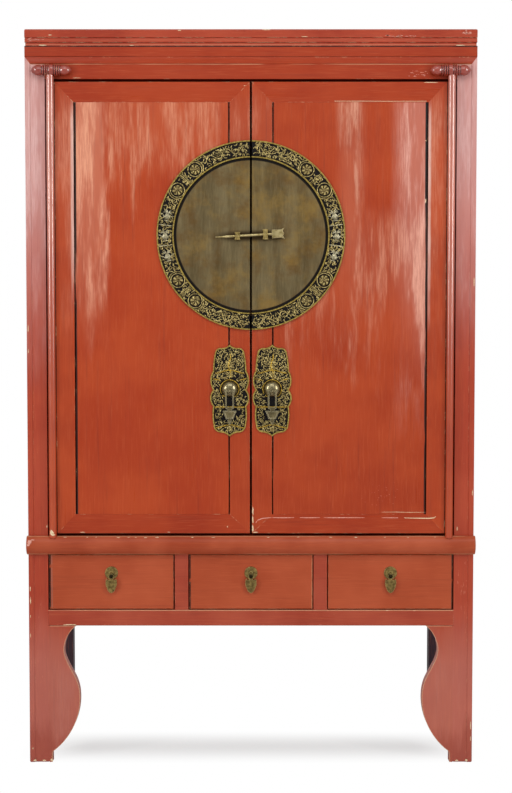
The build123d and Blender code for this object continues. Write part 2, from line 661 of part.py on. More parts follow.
# ---------------------------------------------------------------- round lock plates
PLATE_FACE = DOOR_FACE - DISC_THICK
STAPLE_X = {"left": 34.0, "right": 36.5}
STAPLE_Z = {"left": 1351.0, "right": 1355.0}
STAPLE_SIZE = {"left": (7.0, 5.4, 9.75), "right": (6.8, 5.6, 13.0)}
STAPLE_LONG = 19.0
PIN_HOLE = 3.9
PIN_SLOPE = atan2(STAPLE_Z["right"] - STAPLE_Z["left"], STAPLE_X["left"] + STAPLE_X["right"])
PIN_DIRECTION = (cos(PIN_SLOPE), 0, sin(PIN_SLOPE))
PIN_MIDDLE_Z = STAPLE_Z["left"] + STAPLE_X["left"] * (
    (STAPLE_Z["right"] - STAPLE_Z["left"]) / (STAPLE_X["left"] + STAPLE_X["right"])
)
PIN_ORIGIN = (0, FRONT + PIN_Y, PIN_MIDDLE_Z)

for name, side in SIDES.items():
    half_x = mirrored(side, (SEAM, DISC_RADIUS + 5))
    half_z = (DISC_Z - DISC_RADIUS - 5, DISC_Z + DISC_RADIUS + 5)

    with BuildPart() as disc_plate:
        with BuildSketch(front_plane(DOOR_FACE, 0, DISC_Z)):
            Circle(DISC_RADIUS - 3)
        extrude(amount=DISC_THICK)
        board(half_x, (PLATE_FACE - 1, DOOR_FACE + 1), half_z, Mode.INTERSECT)
    finish(disc_plate, f"{name}_disc_plate")

    # cast border: a sunk field between two rounded rims
    with BuildPart() as disc_border:
        section = Plane(origin=(0, FRONT, DISC_Z), x_dir=(1, 0, 0), z_dir=(0, 0, 1))
        with BuildSketch(section):
            with BuildLine():
                field = PLATE_FACE - 1.8
                rim = PLATE_FACE - 3.6
                inner, outer = DISC_INNER, DISC_RADIUS
                Polyline((inner, PLATE_FACE), (inner + 0.8, rim), (inner + 3, rim), (inner + 4.6, field))
                Line((inner + 4.6, field), (outer - 4.6, field))
                Polyline((outer - 4.6, field), (outer - 3, rim), (outer - 0.8, rim), (outer, PLATE_FACE))
                Line((outer, PLATE_FACE), (inner, PLATE_FACE))
            make_face()
        revolve(axis=Axis((0, FRONT, DISC_Z), (0, 1, 0)))
        board(half_x, (rim - 1, PLATE_FACE), half_z, Mode.INTERSECT)
    finish(disc_border, f"{name}_disc_border")

    # waisted staple that the locking pin passes through
    with BuildPart() as lock_staple:
        wide, waist, tall = STAPLE_SIZE[name]
        with BuildSketch(front_plane(PLATE_FACE, side * STAPLE_X[name], STAPLE_Z[name])):
            with BuildLine():
                Line((-wide, tall), (wide, tall))
                ThreePointArc((wide, tall), (waist, 0), (wide, -tall))
                Line((wide, -tall), (-wide, -tall))
                ThreePointArc((-wide, -tall), (-waist, 0), (-wide, tall))
            make_face()
        extrude(amount=STAPLE_LONG)
        chamfer(lock_staple.faces().sort_by(Axis.Y)[0].edges(), length=1.0)
        hole_centre = (side * STAPLE_X[name], FRONT + PIN_Y, STAPLE_Z[name])
        with Locations(Plane(origin=hole_centre, z_dir=PIN_DIRECTION).location):
            Cylinder(PIN_HOLE, 30, mode=Mode.SUBTRACT)
        # the smaller staple has a round dimple in its face, the larger one a central groove
        if name == "left":
            with Locations((side * STAPLE_X[name], FRONT + PLATE_FACE - STAPLE_LONG, STAPLE_Z[name])):
                Cylinder(2.6, 3, rotation=(90, 0, 0), mode=Mode.SUBTRACT)
        else:
            groove_x = (side * STAPLE_X[name] - 1.2, side * STAPLE_X[name] + 1.2)
            groove_y = (PLATE_FACE - STAPLE_LONG, PLATE_FACE - STAPLE_LONG + 1.5)
            groove_z = (STAPLE_Z[name] - 20, STAPLE_Z[name] + 20)
            board(groove_x, groove_y, groove_z, Mode.SUBTRACT)
    finish(lock_staple, f"{name}_lock_staple")

# locking pin: a small knob at the tip, a tapered shaft, and a flat crowned head
with BuildPart() as lock_pin:
    pin_plane = Plane(origin=PIN_ORIGIN, x_dir=PIN_DIRECTION, z_dir=(0, -1, 0))
    with BuildSketch(pin_plane):
        with BuildLine():
            half_crown = [(52.5, 0), (52.5, 10.4), (54, 11), (77, 10.2), (84.5, 14), (80.8, 6.2), (84, 0)]
            Polyline(half_crown)
            mirror(about=Plane.XZ)
        make_face()
    extrude(amount=3.8, both=True)
    chamfer(lock_pin.faces().sort_by(Axis.Y)[0].edges(), length=0.9)
    with BuildSketch(pin_plane):
        with BuildLine():
            Polyline((-89, 0), (-89, 1.9), (-86.4, 1.3), (-62, 3.2), (56, 3.2), (56, 0), (-89, 0))
        make_face()
    revolve(axis=Axis(PIN_ORIGIN, PIN_DIRECTION))
finish(lock_pin, "lock_pin")

# ---------------------------------------------------------------- door pulls
PULL_FACE = DOOR_FACE - 2.4
BOSS_Z = PULL_Z + 4
BOSS_RADIUS = 20.5
EYE_OUTER = 5.0
EYE_INNER = 3.2
EYE_SIDES = 12


def pull_outline():
    """Right half of the scalloped plate, from its top point to its bottom point, then mirrored."""
    with BuildLine() as outline:
        ThreePointArc((0, 117), (9, 110.5), (21, 108.5))
        ThreePointArc((21, 108.5), (33, 104.5), (37.5, 94))
        ThreePointArc((37.5, 94), (41, 72), (42.3, 50))
        ThreePointArc((42.3, 50), (48.9, 24), (42, 2))
        ThreePointArc((42, 2), (49.6, -18), (42, -40))
        ThreePointArc((42, -40), (43.8, -62), (41, -88))
        ThreePointArc((41, -88), (35.5, -101), (22.5, -106))
        ThreePointArc((22.5, -106), (10, -109.5), (0, -116.5))
        mirror(about=Plane.YZ)
    make_face(outline.edges())


for name, side in SIDES.items():
    with BuildPart() as pull_plate:
        with BuildSketch(front_plane(DOOR_FACE, side * PULL_X, PULL_Z)):
            pull_outline()
        extrude(amount=DOOR_FACE - PULL_FACE)
        with BuildSketch(front_plane(PULL_FACE, side * PULL_X, PULL_Z)):
            pull_outline()
            offset(amount=-3.2, kind=Kind.INTERSECTION, mode=Mode.SUBTRACT)
        extrude(amount=1.2)
    finish(pull_plate, f"{name}_pull_plate")

    # domed boss with the eye of its cotter standing in front
    with BuildPart() as pull_boss:
        axis_point = (side * PULL_X, FRONT, BOSS_Z)
        with BuildSketch(Plane(origin=axis_point, x_dir=(1, 0, 0), z_dir=(0, 0, 1))):
            with BuildLine():
                dome = [(BOSS_RADIUS, 0), (17.6, 5.4), (10.4, 11.4), (0, 13), (0, 0)]
                Polyline([(radius, PULL_FACE - rise) for radius, rise in dome], close=True)
            make_face()
        revolve(axis=Axis(axis_point, (0, 1, 0)))
        with BuildSketch(end_plane(side * PULL_X)):
            with Locations((PULL_PIVOT_Y, PULL_Z)):
                RegularPolygon(EYE_OUTER, EYE_SIDES)
                with Locations((5.5, 0)):
                    Rectangle(5, 5)
                RegularPolygon(EYE_INNER, EYE_SIDES, mode=Mode.SUBTRACT)
        extrude(amount=2.4, both=True)
    finish(pull_boss, f"{name}_pull_boss")

    # hanging pull: a bail through the eye, a neck, a bevelled trapezoid and a drop finial
    with BuildPart() as door_pull:
        with BuildSketch(front_plane(PULL_PIVOT_Y, side * PULL_X, PULL_Z)):
            with Locations((0, -22)):
                RectangleRounded(22, 48, 5)
            with Locations((0, -21.5)):
                RectangleRounded(15, 39, 2.5, mode=Mode.SUBTRACT)
            with Locations((0, -47)):
                Rectangle(10, 8)
            with BuildLine():
                Polyline((-17.4, -50), (17.4, -50), (9, -71), (-9, -71), close=True)
            make_face()
            with Locations((0, -75)):
                Circle(5)
            with Locations((0, -82)):
                Rectangle(4, 6)
        extrude(amount=2, both=True)
        with BuildSketch(front_plane(PULL_PIVOT_Y - 2, side * PULL_X, PULL_Z)):
            with BuildLine():
                Polyline((-13.4, -52.5), (13.4, -52.5), (7, -68.5), (-7, -68.5), close=True)
            make_face()
        extrude(amount=-1, mode=Mode.SUBTRACT)
    finish(door_pull, f"{name}_door_pull")

# ---------------------------------------------------------------- drawers
DRAWERS = {
    "left": (-INNER + DRAWER_GAP, -DIVIDER[1] - DRAWER_GAP),
    "middle": (-DIVIDER[0] + DRAWER_GAP, DIVIDER[0] - DRAWER_GAP),
    "right": (DIVIDER[1] + DRAWER_GAP, INNER - DRAWER_GAP),
}
FRONT_THICK = 20.0
WALL = 12.0
LIP = 3.0
WALL_Z = (LOWER_RAIL[1] + 0.4, 528.0)
TAIL_LONG = 12.0
TAILS = 3
BOTTOM_Z = (404.0, 411.0)
BOX_BACK = DRAWER_FACE + DRAWER_LENGTH
ROSETTE_THICK = 2.5
ROSETTE_SIDES = 16
COTTER_RADIUS = 4.2
COTTER_WIRE = 1.0


def dovetails(x_ends, room, mode):
    """Tails at the front of a drawer side, or with room, their sockets in the drawer front."""
    shoulder = DRAWER_FACE + FRONT_THICK
    pitch = (WALL_Z[1] - WALL_Z[0]) / TAILS
    with BuildSketch(end_plane(min(x_ends))) as tails:
        for k in range(TAILS):
            z = WALL_Z[0] + pitch * (k + 0.5)
            with BuildLine():
                tip = shoulder - TAIL_LONG - room
                narrow, wide = 12 + room, 15 + room
                root = shoulder + (0.01 if room else 0.5)
                Polyline((root, z - narrow), (tip, z - wide), (tip, z + wide), (root, z + narrow), close=True)
            make_face()
    extrude(tails.sketch, amount=abs(x_ends[1] - x_ends[0]), mode=mode)


for name, (low_x, high_x) in DRAWERS.items():
    walls = ((low_x + LIP, low_x + LIP + WALL), (high_x - LIP - WALL, high_x - LIP))
    inside_x = (walls[0][1], walls[1][0])
    shoulder = DRAWER_FACE + FRONT_THICK
    middle_x = (low_x + high_x) / 2

    with BuildPart() as drawer_front:
        board((low_x, high_x), (DRAWER_FACE, shoulder), DRAWER_Z)
        chamfer(drawer_front.faces().sort_by(Axis.Y)[0].edges(), length=1.0)
        for wall_x in walls:
            dovetails(grown(wall_x, 0.1), 0.2, Mode.SUBTRACT)
        board(inside_x, (shoulder - 6, shoulder), grown(BOTTOM_Z), Mode.SUBTRACT)
    finish(drawer_front, f"{name}_drawer_front")

    with BuildPart() as drawer_box:
        for wall_x in walls:
            board(wall_x, (shoulder, BOX_BACK), WALL_Z)
            dovetails(wall_x, 0, Mode.ADD)
        for wall_x, inner_x in ((walls[0], walls[0][1]), (walls[1], walls[1][0])):
            groove_x = (inner_x - 5, inner_x + 5)
            board(groove_x, (shoulder, BOX_BACK - WALL - 10), grown(BOTTOM_Z), Mode.SUBTRACT)
        board(grown(inside_x, -0.1), (BOX_BACK - WALL - 10, BOX_BACK - 10), (BOTTOM_Z[0], WALL_Z[1] - 8))
        # the bottom runs in the sides' grooves, with a tongue in the drawer front
        board(grown(inside_x, 4.6), (shoulder + 0.1, BOX_BACK - WALL - 10.1), BOTTOM_Z)
        board(grown(inside_x, -FIT), (shoulder - 5.5, shoulder + 0.1), BOTTOM_Z)
    finish(drawer_box, f"{name}_drawer_box")

    # round rosette with a cotter eye that the pull's ring hangs in
    with BuildPart() as drawer_rosette:
        with BuildSketch(front_plane(DRAWER_FACE, middle_x, DRAWER_PULL_Z + 4)):
            RegularPolygon(17, ROSETTE_SIDES)
        extrude(amount=ROSETTE_THICK)
        chamfer(drawer_rosette.faces().sort_by(Axis.Y)[0].edges(), length=1.2)
        with BuildSketch(front_plane(DRAWER_FACE - ROSETTE_THICK, middle_x, DRAWER_PULL_Z + 4)):
            Circle(4.5)
        extrude(amount=1.8)
        with BuildSketch(end_plane(middle_x)):
            with Locations((DRAWER_PULL_Y, DRAWER_PULL_Z)):
                RegularPolygon(COTTER_RADIUS + COTTER_WIRE, EYE_SIDES)
                with Locations((5, 1)):
                    Rectangle(5, 3)
                RegularPolygon(COTTER_RADIUS - COTTER_WIRE, EYE_SIDES, mode=Mode.SUBTRACT)
        extrude(amount=COTTER_WIRE, both=True)
    finish(drawer_rosette, f"{name}_drawer_rosette")

    # leaf-shaped pull with a pierced ring at its top
    with BuildPart() as drawer_pull:
        with BuildSketch(front_plane(DRAWER_PULL_Y, middle_x, DRAWER_PULL_Z)):
            with BuildLine():
                ThreePointArc((0, -10), (8.5, -12.5), (12.3, -9.5))
                ThreePointArc((12.3, -9.5), (14.3, -20), (10.5, -34))
                ThreePointArc((10.5, -34), (6.5, -42.5), (0, -46.5))
                mirror(about=Plane.YZ)
            make_face()
            with Locations((0, -5.2)):
                Circle(7.4)
                Circle(2.8, mode=Mode.SUBTRACT)
        extrude(amount=1.3, both=True)
    finish(drawer_pull, f"{name}_drawer_pull")
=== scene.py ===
import math
import random

import bmesh
import bpy
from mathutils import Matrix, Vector


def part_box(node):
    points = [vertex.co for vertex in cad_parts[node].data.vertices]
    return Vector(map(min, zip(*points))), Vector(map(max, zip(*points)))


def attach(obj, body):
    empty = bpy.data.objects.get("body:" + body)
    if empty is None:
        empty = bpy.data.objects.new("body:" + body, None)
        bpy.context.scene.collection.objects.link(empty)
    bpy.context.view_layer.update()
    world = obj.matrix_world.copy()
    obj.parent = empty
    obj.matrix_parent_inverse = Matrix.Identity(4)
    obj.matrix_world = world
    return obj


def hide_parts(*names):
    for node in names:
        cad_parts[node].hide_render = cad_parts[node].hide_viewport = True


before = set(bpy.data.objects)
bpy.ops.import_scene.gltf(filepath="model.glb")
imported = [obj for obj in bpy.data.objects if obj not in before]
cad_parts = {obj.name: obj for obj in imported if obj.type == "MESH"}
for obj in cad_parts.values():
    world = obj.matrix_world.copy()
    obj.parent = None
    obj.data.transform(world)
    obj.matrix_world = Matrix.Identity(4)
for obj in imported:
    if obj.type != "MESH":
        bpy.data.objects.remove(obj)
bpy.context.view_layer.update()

# -------------------- the studio
# A white sweep under even light, with a tall softbox at each side of the camera and one above it. Two
# more lamps show only in gloss. The camera stands straight in front of the doors, a little over halfway
# up, and is tipped down slightly.
BEAD_RISE = 0.0025
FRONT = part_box("front_left_post")[0].y + BEAD_RISE
CAMERA_BACK = 3.7457
CAMERA_HEIGHT = 1.1431
CAMERA_TIP = 3.03
camera_data = bpy.data.cameras.new("camera")
camera_data.lens = 66.83
camera_data.sensor_width = 36.0
camera_data.shift_x = 0.0064
camera = bpy.data.objects.new("camera", camera_data)
camera.location = (0.0, FRONT - CAMERA_BACK, CAMERA_HEIGHT)
camera.rotation_euler = (math.radians(90 - CAMERA_TIP), 0, 0)
bpy.context.scene.collection.objects.link(camera)
bpy.context.scene.camera = camera
bpy.context.scene.view_settings.view_transform = "Standard"

LAMPS_AIM = Vector((0, 0, 1.1))
LAMPS = {
    "left_softbox": ((-3.0, -2.6, 1.9), (0.5, 2.0), 30.0),
    "right_softbox": ((3.0, -2.6, 1.9), (0.5, 2.0), 30.0),
    "top_softbox": ((0.0, -2.9, 3.9), (3.0, 1.2), 36.0),
    "left_gleam": ((-2.9, -2.5, 2.05), (0.8, 1.6), 34.0),
    "right_gleam": ((2.9, -2.5, 2.05), (0.8, 1.6), 34.0),
}
for name, (stand, size, power) in LAMPS.items():
    light = bpy.data.lights.new(name, "AREA")
    light.shape = "RECTANGLE"
    light.size, light.size_y = size
    light.energy = power
    lamp = bpy.data.objects.new(name, light)
    lamp.location = stand
    lamp.rotation_euler = (LAMPS_AIM - lamp.location).to_track_quat("-Z", "Y").to_euler()
    lamp.visible_diffuse = "gleam" not in name
    bpy.context.scene.collection.objects.link(lamp)


def wire(tree, kind, inputs, **settings):
    """Adds a shader node, sets its properties and fills its inputs with values or other outputs."""
    made = tree.nodes.new("ShaderNode" + kind)
    for name, value in settings.items():
        setattr(made, name, value)
    for name, value in inputs.items():
        if isinstance(value, bpy.types.NodeSocket):
            tree.links.new(value, made.inputs[name])
        else:
            made.inputs[name].default_value = value
    return made.outputs


def calc(tree, operation, first, second=0.0):
    """One sum on two numbers or outputs."""
    return wire(tree, "Math", {0: first, 1: second}, operation=operation)[0]


def times(tree, first, second):
    """The product of two numbers or outputs."""
    return calc(tree, "MULTIPLY", first, second)


ROOM_LEVEL = 0.52
GLOSS_SHARE = 0.36
world = bpy.data.worlds.new("white_studio")
bpy.context.scene.world = world
world.use_nodes = True
sky = world.node_tree
sky.nodes.clear()
rays = wire(sky, "LightPath", {})
white_share = calc(sky, "ADD", rays["Is Camera Ray"], times(sky, rays["Is Glossy Ray"], GLOSS_SHARE))
white_share = calc(sky, "ADD", white_share, rays["Is Transmission Ray"])
level = wire(sky, "MapRange", {0: white_share, 3: ROOM_LEVEL, 4: 1.0})[0]
glow = wire(sky, "Background", {"Color": (1, 1, 1, 1), "Strength": level})[0]
wire(sky, "OutputWorld", {"Surface": glow})


def blank(name):
    """A new material, its empty tree, and the place of each point of what wears it."""
    made = bpy.data.materials.new(name)
    made.use_nodes = True
    made.node_tree.nodes.clear()
    return made, made.node_tree, wire(made.node_tree, "TexCoord", {})["Object"]


def ramp(tree, value, low, high):
    """0 below low, 1 above high, and a smooth rise between them."""
    return wire(tree, "MapRange", {0: value, 1: low, 2: high}, interpolation_type="SMOOTHSTEP")[0]


def off_from(tree, value, line):
    """How far a value lies from a line, on either side."""
    return calc(tree, "ABSOLUTE", calc(tree, "SUBTRACT", value, line))


# the sweep is white to the eye and keeps a soft shadow just behind the front feet
SHADOW_LINE = FRONT + 0.135
SHADOW_REACH = 0.16
SHADOW_ENDS = (0.62, 0.41)
SHADOW_DEPTH = 0.48
floor_mesh = bpy.data.meshes.new("sweep")
floor_form = bmesh.new()
floor_form.faces.new([floor_form.verts.new((x, y, 0)) for x, y in ((-9, -7), (9, -7), (9, 11), (-9, 11))])
floor_form.to_mesh(floor_mesh)
floor_form.free()
sweep = bpy.data.objects.new("sweep", floor_mesh)
bpy.context.scene.collection.objects.link(sweep)
paper, tree, place = blank("sweep_paper")
axes = wire(tree, "SeparateXYZ", {0: place})
near = ramp(tree, off_from(tree, axes["Y"], SHADOW_LINE), SHADOW_REACH, 0.0)
inside = ramp(tree, calc(tree, "ABSOLUTE", axes["X"]), *SHADOW_ENDS)
shade = times(tree, times(tree, near, inside), SHADOW_DEPTH)
white = wire(tree, "Emission", {"Color": (1, 1, 1, 1), "Strength": 1.0})[0]
matte = wire(tree, "BsdfDiffuse", {"Color": (0.86, 0.86, 0.86, 1)})[0]
lit = wire(tree, "MixShader", {0: shade, 1: white, 2: matte})[0]
rays = wire(tree, "LightPath", {})
seen = calc(tree, "MAXIMUM", rays["Is Camera Ray"], rays["Is Transmission Ray"])
wire(tree, "OutputMaterial", {"Surface": wire(tree, "MixShader", {0: seen, 1: matte, 2: lit})[0]})
sweep.data.materials.append(paper)


# -------------------- four posts
# Square softwood posts under red lacquer, mortised for the rails. The front pair has a bead worked
# down the outer edge. A pale sheen of the light from above is painted into the lacquer at the top,
# and the lacquer is rubbed to the wood on arrises.
def paint(red, green, blue):
    """A colour mixed in everyday 0..255 steps, as linear light for a shader."""
    steps = []
    for step in (red, green, blue):
        part = step / 255
        steps.append(part / 12.92 if part <= 0.04045 else ((part + 0.055) / 1.055) ** 2.4)
    return (*steps, 1.0)


def cloud(tree, where, size, detail=3.0, rough=0.55):
    """Noise, whose features measure about one divided by size."""
    return wire(tree, "TexNoise", {"Vector": where, "Scale": size, "Detail": detail, "Roughness": rough})[0]


def drawn_out(tree, place, factors):
    """The place with each axis squeezed by a factor, which draws noise out along that axis."""
    return wire(tree, "VectorMath", {0: place, 1: factors}, operation="MULTIPLY")[0]


def tint(tree, amount, under, over, share=1.0):
    """Lays a share of one colour over another."""
    return wire(tree, "Mix", {0: times(tree, amount, share), 6: under, 7: over}, data_type="RGBA")[2]


def dent(tree, height, strength, depth):
    """Fine relief under a finish."""
    return wire(tree, "Bump", {"Strength": strength, "Distance": depth, "Height": height})[0]


def finish(tree, inputs):
    """Ends a material's tree with its surface."""
    wire(tree, "OutputMaterial", {"Surface": wire(tree, "BsdfPrincipled", inputs)[0]})


def rubbed_edges(tree, reach):
    """1 on sharp outer and inner edges, 0 on open faces."""
    rounded = wire(tree, "Bevel", {"Radius": reach}, samples=6)[0]
    flat = wire(tree, "NewGeometry", {})["True Normal"]
    alike = wire(tree, "VectorMath", {0: rounded, 1: flat}, operation="DOT_PRODUCT")["Value"]
    return ramp(tree, alike, 0.985, 0.86)


GRAIN_SQUEEZE = {"x": (0.035, 1, 1), "y": (1, 0.035, 1), "z": (1, 1, 0.035)}
RUNS_DOWN = (1, 1, 0.13)
BARE_GESSO = paint(222, 178, 138)
BRUSHED_IN_DIRT = paint(96, 24, 12)
RUBBED_STREAK = paint(206, 104, 62)
RAGGED_RISE = 0.7
THINNEST = 0.86


def lacquer(
    name, grain, deep, bright, sheen_shade_and_dust=(), lines=(), rub=0.5, shine=0.34, worn=0.0022, joint=None, rod=None
):
    """Red lacquer on brushed wood, with patches of painted sheen, painted shade, dust and dirt, painted
    lines, and wear on its edges.

    A patch grows from none at height low to full at height high, up or down, with a ragged edge. It may
    fade out at a height, start beyond a distance from the cabinet's middle, or keep to a band (middle,
    outer and inner half width) whose sides stray. A line is an axis, a place on it, half its width, its
    strength and its colour; dark lines are painted shade in gaps and grooves, some pale ones are
    painted highlights along arrises and others rubbed lacquer. Edges don't wear beside a joint. Rod says
    how far out the lacquer turns polished, and its gloss there.
    """
    made, tree, place = blank(name)
    brushed = drawn_out(tree, place, GRAIN_SQUEEZE[grain])
    axes = wire(tree, "SeparateXYZ", {0: place})
    outward = calc(tree, "ABSOLUTE", axes["X"])
    reach = {"X": axes["X"], "Z": axes["Z"], "out": outward}
    fine = cloud(tree, brushed, 520, 2)
    streaks = cloud(tree, brushed, 120, 4, 0.6)
    patches = cloud(tree, place, 5.5, 3)
    colour = tint(tree, ramp(tree, patches, 0.32, 0.68), paint(*deep), paint(*bright))
    colour = tint(tree, ramp(tree, streaks, 0.56, 0.76), colour, BRUSHED_IN_DIRT, 0.26)
    colour = tint(tree, ramp(tree, fine, 0.5, 0.74), colour, RUBBED_STREAK, 0.22)
    wander = cloud(tree, drawn_out(tree, place, RUNS_DOWN), 21, 4, 0.7)
    scratches = ramp(tree, cloud(tree, brushed, 400, 5, 0.78), 0.43, 0.56)
    scratched = calc(tree, "ADD", times(tree, scratches, 0.74), 0.34)
    broken = calc(tree, "SUBTRACT", 1.0, times(tree, ramp(tree, wander, 0.45, 0.63), scratched))
    # patches: painted sheens of the light from above, painted shade at a gap's top, and dust and dirt at the
    # foot
    for overlay in sheen_shade_and_dust:
        ragged = overlay.get("ragged", 1.0)
        raised = RAGGED_RISE / 2 * ragged
        height = calc(tree, "ADD", axes["Z"], times(tree, wander, RAGGED_RISE * ragged))
        amount = ramp(tree, height, overlay["low"] + raised, overlay["high"] + raised)
        amount = times(tree, amount, calc(tree, "SUBTRACT", 1.0, times(tree, broken, THINNEST * ragged)))
        if "fade" in overlay:
            amount = times(tree, amount, ramp(tree, axes["Z"], overlay["fade"], overlay["fade"] - 0.1))
        if "beyond" in overlay:
            amount = times(tree, amount, ramp(tree, outward, overlay["beyond"] - 0.0005, overlay["beyond"]))
        if "band" in overlay:
            middle, outer, inner = overlay["band"]
            stray = times(tree, calc(tree, "SUBTRACT", wander, 0.5), overlay.get("stray", 0.0))
            off = off_from(tree, calc(tree, "ADD", outward, stray), middle)
            amount = times(tree, amount, ramp(tree, off, outer, inner))
        colour = tint(tree, amount, colour, paint(*overlay["pale"]), overlay["strength"])
    gaps = ramp(tree, cloud(tree, brushed, 46, 4, 0.75), 0.36, 0.46)
    # lines: painted shade in gaps and grooves, painted highlights along arrises, and rubbed lacquer
    for axis, at, half, strength, shade in lines:
        drawn = times(tree, ramp(tree, off_from(tree, reach[axis], at), half, half * 0.5), gaps)
        colour = tint(tree, drawn, colour, paint(*shade), strength)
    edge = rubbed_edges(tree, worn)
    if joint:
        edge = times(tree, edge, ramp(tree, off_from(tree, outward, joint), 0.003, 0.005))
    knocked = ramp(tree, cloud(tree, place, 46, 4, 0.7), 0.66 - 0.2 * rub, 0.74 - 0.16 * rub)
    colour = tint(tree, times(tree, edge, knocked), colour, BARE_GESSO, 0.85)
    nicks = ramp(tree, cloud(tree, place, 210, 2, 0.5), 0.79, 0.83)
    colour = tint(tree, nicks, colour, BARE_GESSO, 0.6)
    gloss = wire(tree, "MapRange", {0: streaks, 1: 0.3, 2: 0.7, 3: shine - 0.07, 4: shine + 0.14})[0]
    bump = dent(tree, calc(tree, "ADD", times(tree, fine, 0.35), streaks), 0.16, 0.0012)
    surface = {"Base Color": colour, "Roughness": gloss, "Normal": bump, "Specular IOR Level": 0.26}
    if rod:
        rod_edge, rod_gloss = rod
        dusty_below = wire(tree, "MapRange", {0: axes["Z"], 1: 0.8, 2: 1.3, 3: 0.3, 4: 1.0})[0]
        surface["Coat Weight"] = times(tree, ramp(tree, outward, rod_edge - 0.0005, rod_edge), dusty_below)
        surface["Coat Roughness"] = 0.15
        surface["Coat IOR"] = rod_gloss
    finish(tree, surface)
    return made


def dress(material, *nodes):
    """Gives CAD pieces their finish."""
    for node in nodes:
        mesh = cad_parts[node].data
        mesh.materials.clear()
        mesh.materials.append(material)


def soften(width, *nodes):
    """Takes the sharpness off wooden pieces' arrises."""
    for node in nodes:
        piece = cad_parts[node]
        weld = piece.modifiers.new("weld", "WELD")
        weld.merge_threshold = 0.00002
        bevel = piece.modifiers.new("soften", "BEVEL")
        bevel.width = width
        bevel.segments = 2
        bevel.limit_method = "ANGLE"
        bevel.angle_limit = math.radians(34)


POST_INNER = -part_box("front_left_post")[1].x
# painted sheen: the light from above, painted pale into the upper lacquer of the posts
POST_PAINTED_SHEEN = dict(low=0.94, high=1.62, strength=0.7, pale=(240, 206, 202), ragged=0.46)
FOOT_BLOOM = dict(low=0.44, high=0.22, strength=0.22, pale=(228, 184, 172), ragged=0.25)
FLOOR_DIRT = dict(low=0.1, high=0.03, strength=0.7, pale=(150, 60, 42), ragged=0.3)
post_sheen_and_dust = (POST_PAINTED_SHEEN, FOOT_BLOOM, FLOOR_DIRT)
post_lacquer = lacquer(
    "post_lacquer", "z", (168, 60, 36), (180, 72, 46), post_sheen_and_dust, rub=0.75, joint=POST_INNER
)
back_lacquer = lacquer("back_post_lacquer", "z", (46, 28, 40), (62, 40, 48), rub=0.2, shine=0.5)
dress(post_lacquer, "front_left_post", "front_right_post")
dress(back_lacquer, "back_left_post", "back_right_post")
soften(0.0006, "front_left_post", "front_right_post")
soften(0.0008, "back_left_post", "back_right_post")

# -------------------- rails and waist moulding
# Horizontal rails tenoned into the posts, the head rail with a moulded band mitred to the posts'
# beads, and a thick half-round moulding nailed round the waist. Same red lacquer, brushed lengthwise.
# a near-black painted into gaps and grooves as their shade
PAINTED_SHADE = (20, 8, 8)
CREAM = (232, 196, 152)
RAIL_REDS = ((154, 46, 14), (168, 58, 24))
rail_lacquer = lacquer("rail_lacquer", "x", *RAIL_REDS, rub=0.55)
# painted shade in the seam under the top and in the band's groove, and a painted highlight along the band's
# lower arris
head_lines = (
    ("Z", 1.8270, 0.0022, 0.95, PAINTED_SHADE),
    ("Z", 1.8012, 0.0010, 0.4, PAINTED_SHADE),
    ("Z", 1.7826, 0.0009, 0.6, CREAM),
)
head_lacquer = lacquer("head_rail_lacquer", "x", *RAIL_REDS, lines=head_lines, rub=0.55)
# a painted highlight along the lower rail's top arris
lower_lines = (("Z", 0.3948, 0.0012, 0.5, CREAM),)
lower_lacquer = lacquer(
    "lower_rail_lacquer", "x", (162, 60, 38), (178, 78, 54), lines=lower_lines, rub=0.9
)
waist_lines = (("Z", 0.5872, 0.0012, 0.25, CREAM), ("Z", 0.5424, 0.0012, 0.4, CREAM))
waist_lacquer = lacquer(
    "waist_lacquer", "x", (160, 62, 28), (184, 86, 52), lines=waist_lines, rub=1.0, shine=0.36
)
side_rail_lacquer = lacquer("side_rail_lacquer", "y", (154, 52, 26), (170, 64, 36), rub=0.5)
dress(head_lacquer, "front_head_rail")
dress(rail_lacquer, "front_waist_rail", "back_rails")
dress(lower_lacquer, "front_lower_rail", "drawer_dividers")
dress(waist_lacquer, "waist_moulding")
dress(side_rail_lacquer, "side_rails")
soften(0.0007, "front_head_rail", "front_waist_rail", "front_lower_rail", "drawer_dividers")
soften(0.0007, "back_rails", "side_rails")

# -------------------- side panels
# Thin boards held in grooves of the frame, free to shrink and swell, and lacquered on the outside.
# A pale sheen of the light from above is painted on them, a little towards the top.
SIDE_PAINTED_SHEEN = dict(low=1.15, high=1.75, strength=0.3, pale=(226, 160, 130))
side_panel_lacquer = lacquer(
    "side_panel_lacquer", "z", (156, 50, 24), (172, 66, 36), (SIDE_PAINTED_SHEEN,), rub=0.3
)
dress(side_panel_lacquer, "left_side_panels", "right_side_panels")

# -------------------- top
# Mitred frame with stacked mouldings on its edge and a flush board in the middle. The upper edge has
# taken the most knocks, so wood and gesso show through in places.
# painted highlights along two edges of the top's moulding
top_lines = (("Z", 1.8310, 0.0012, 0.6, (220, 140, 108)), ("Z", 1.8425, 0.0009, 0.35, (214, 130, 100)))
top_lacquer = lacquer("top_lacquer", "x", (158, 52, 28), (176, 68, 42), lines=top_lines, rub=1.0)
dress(top_lacquer, "top_frame")
dress(rail_lacquer, "top_panel")


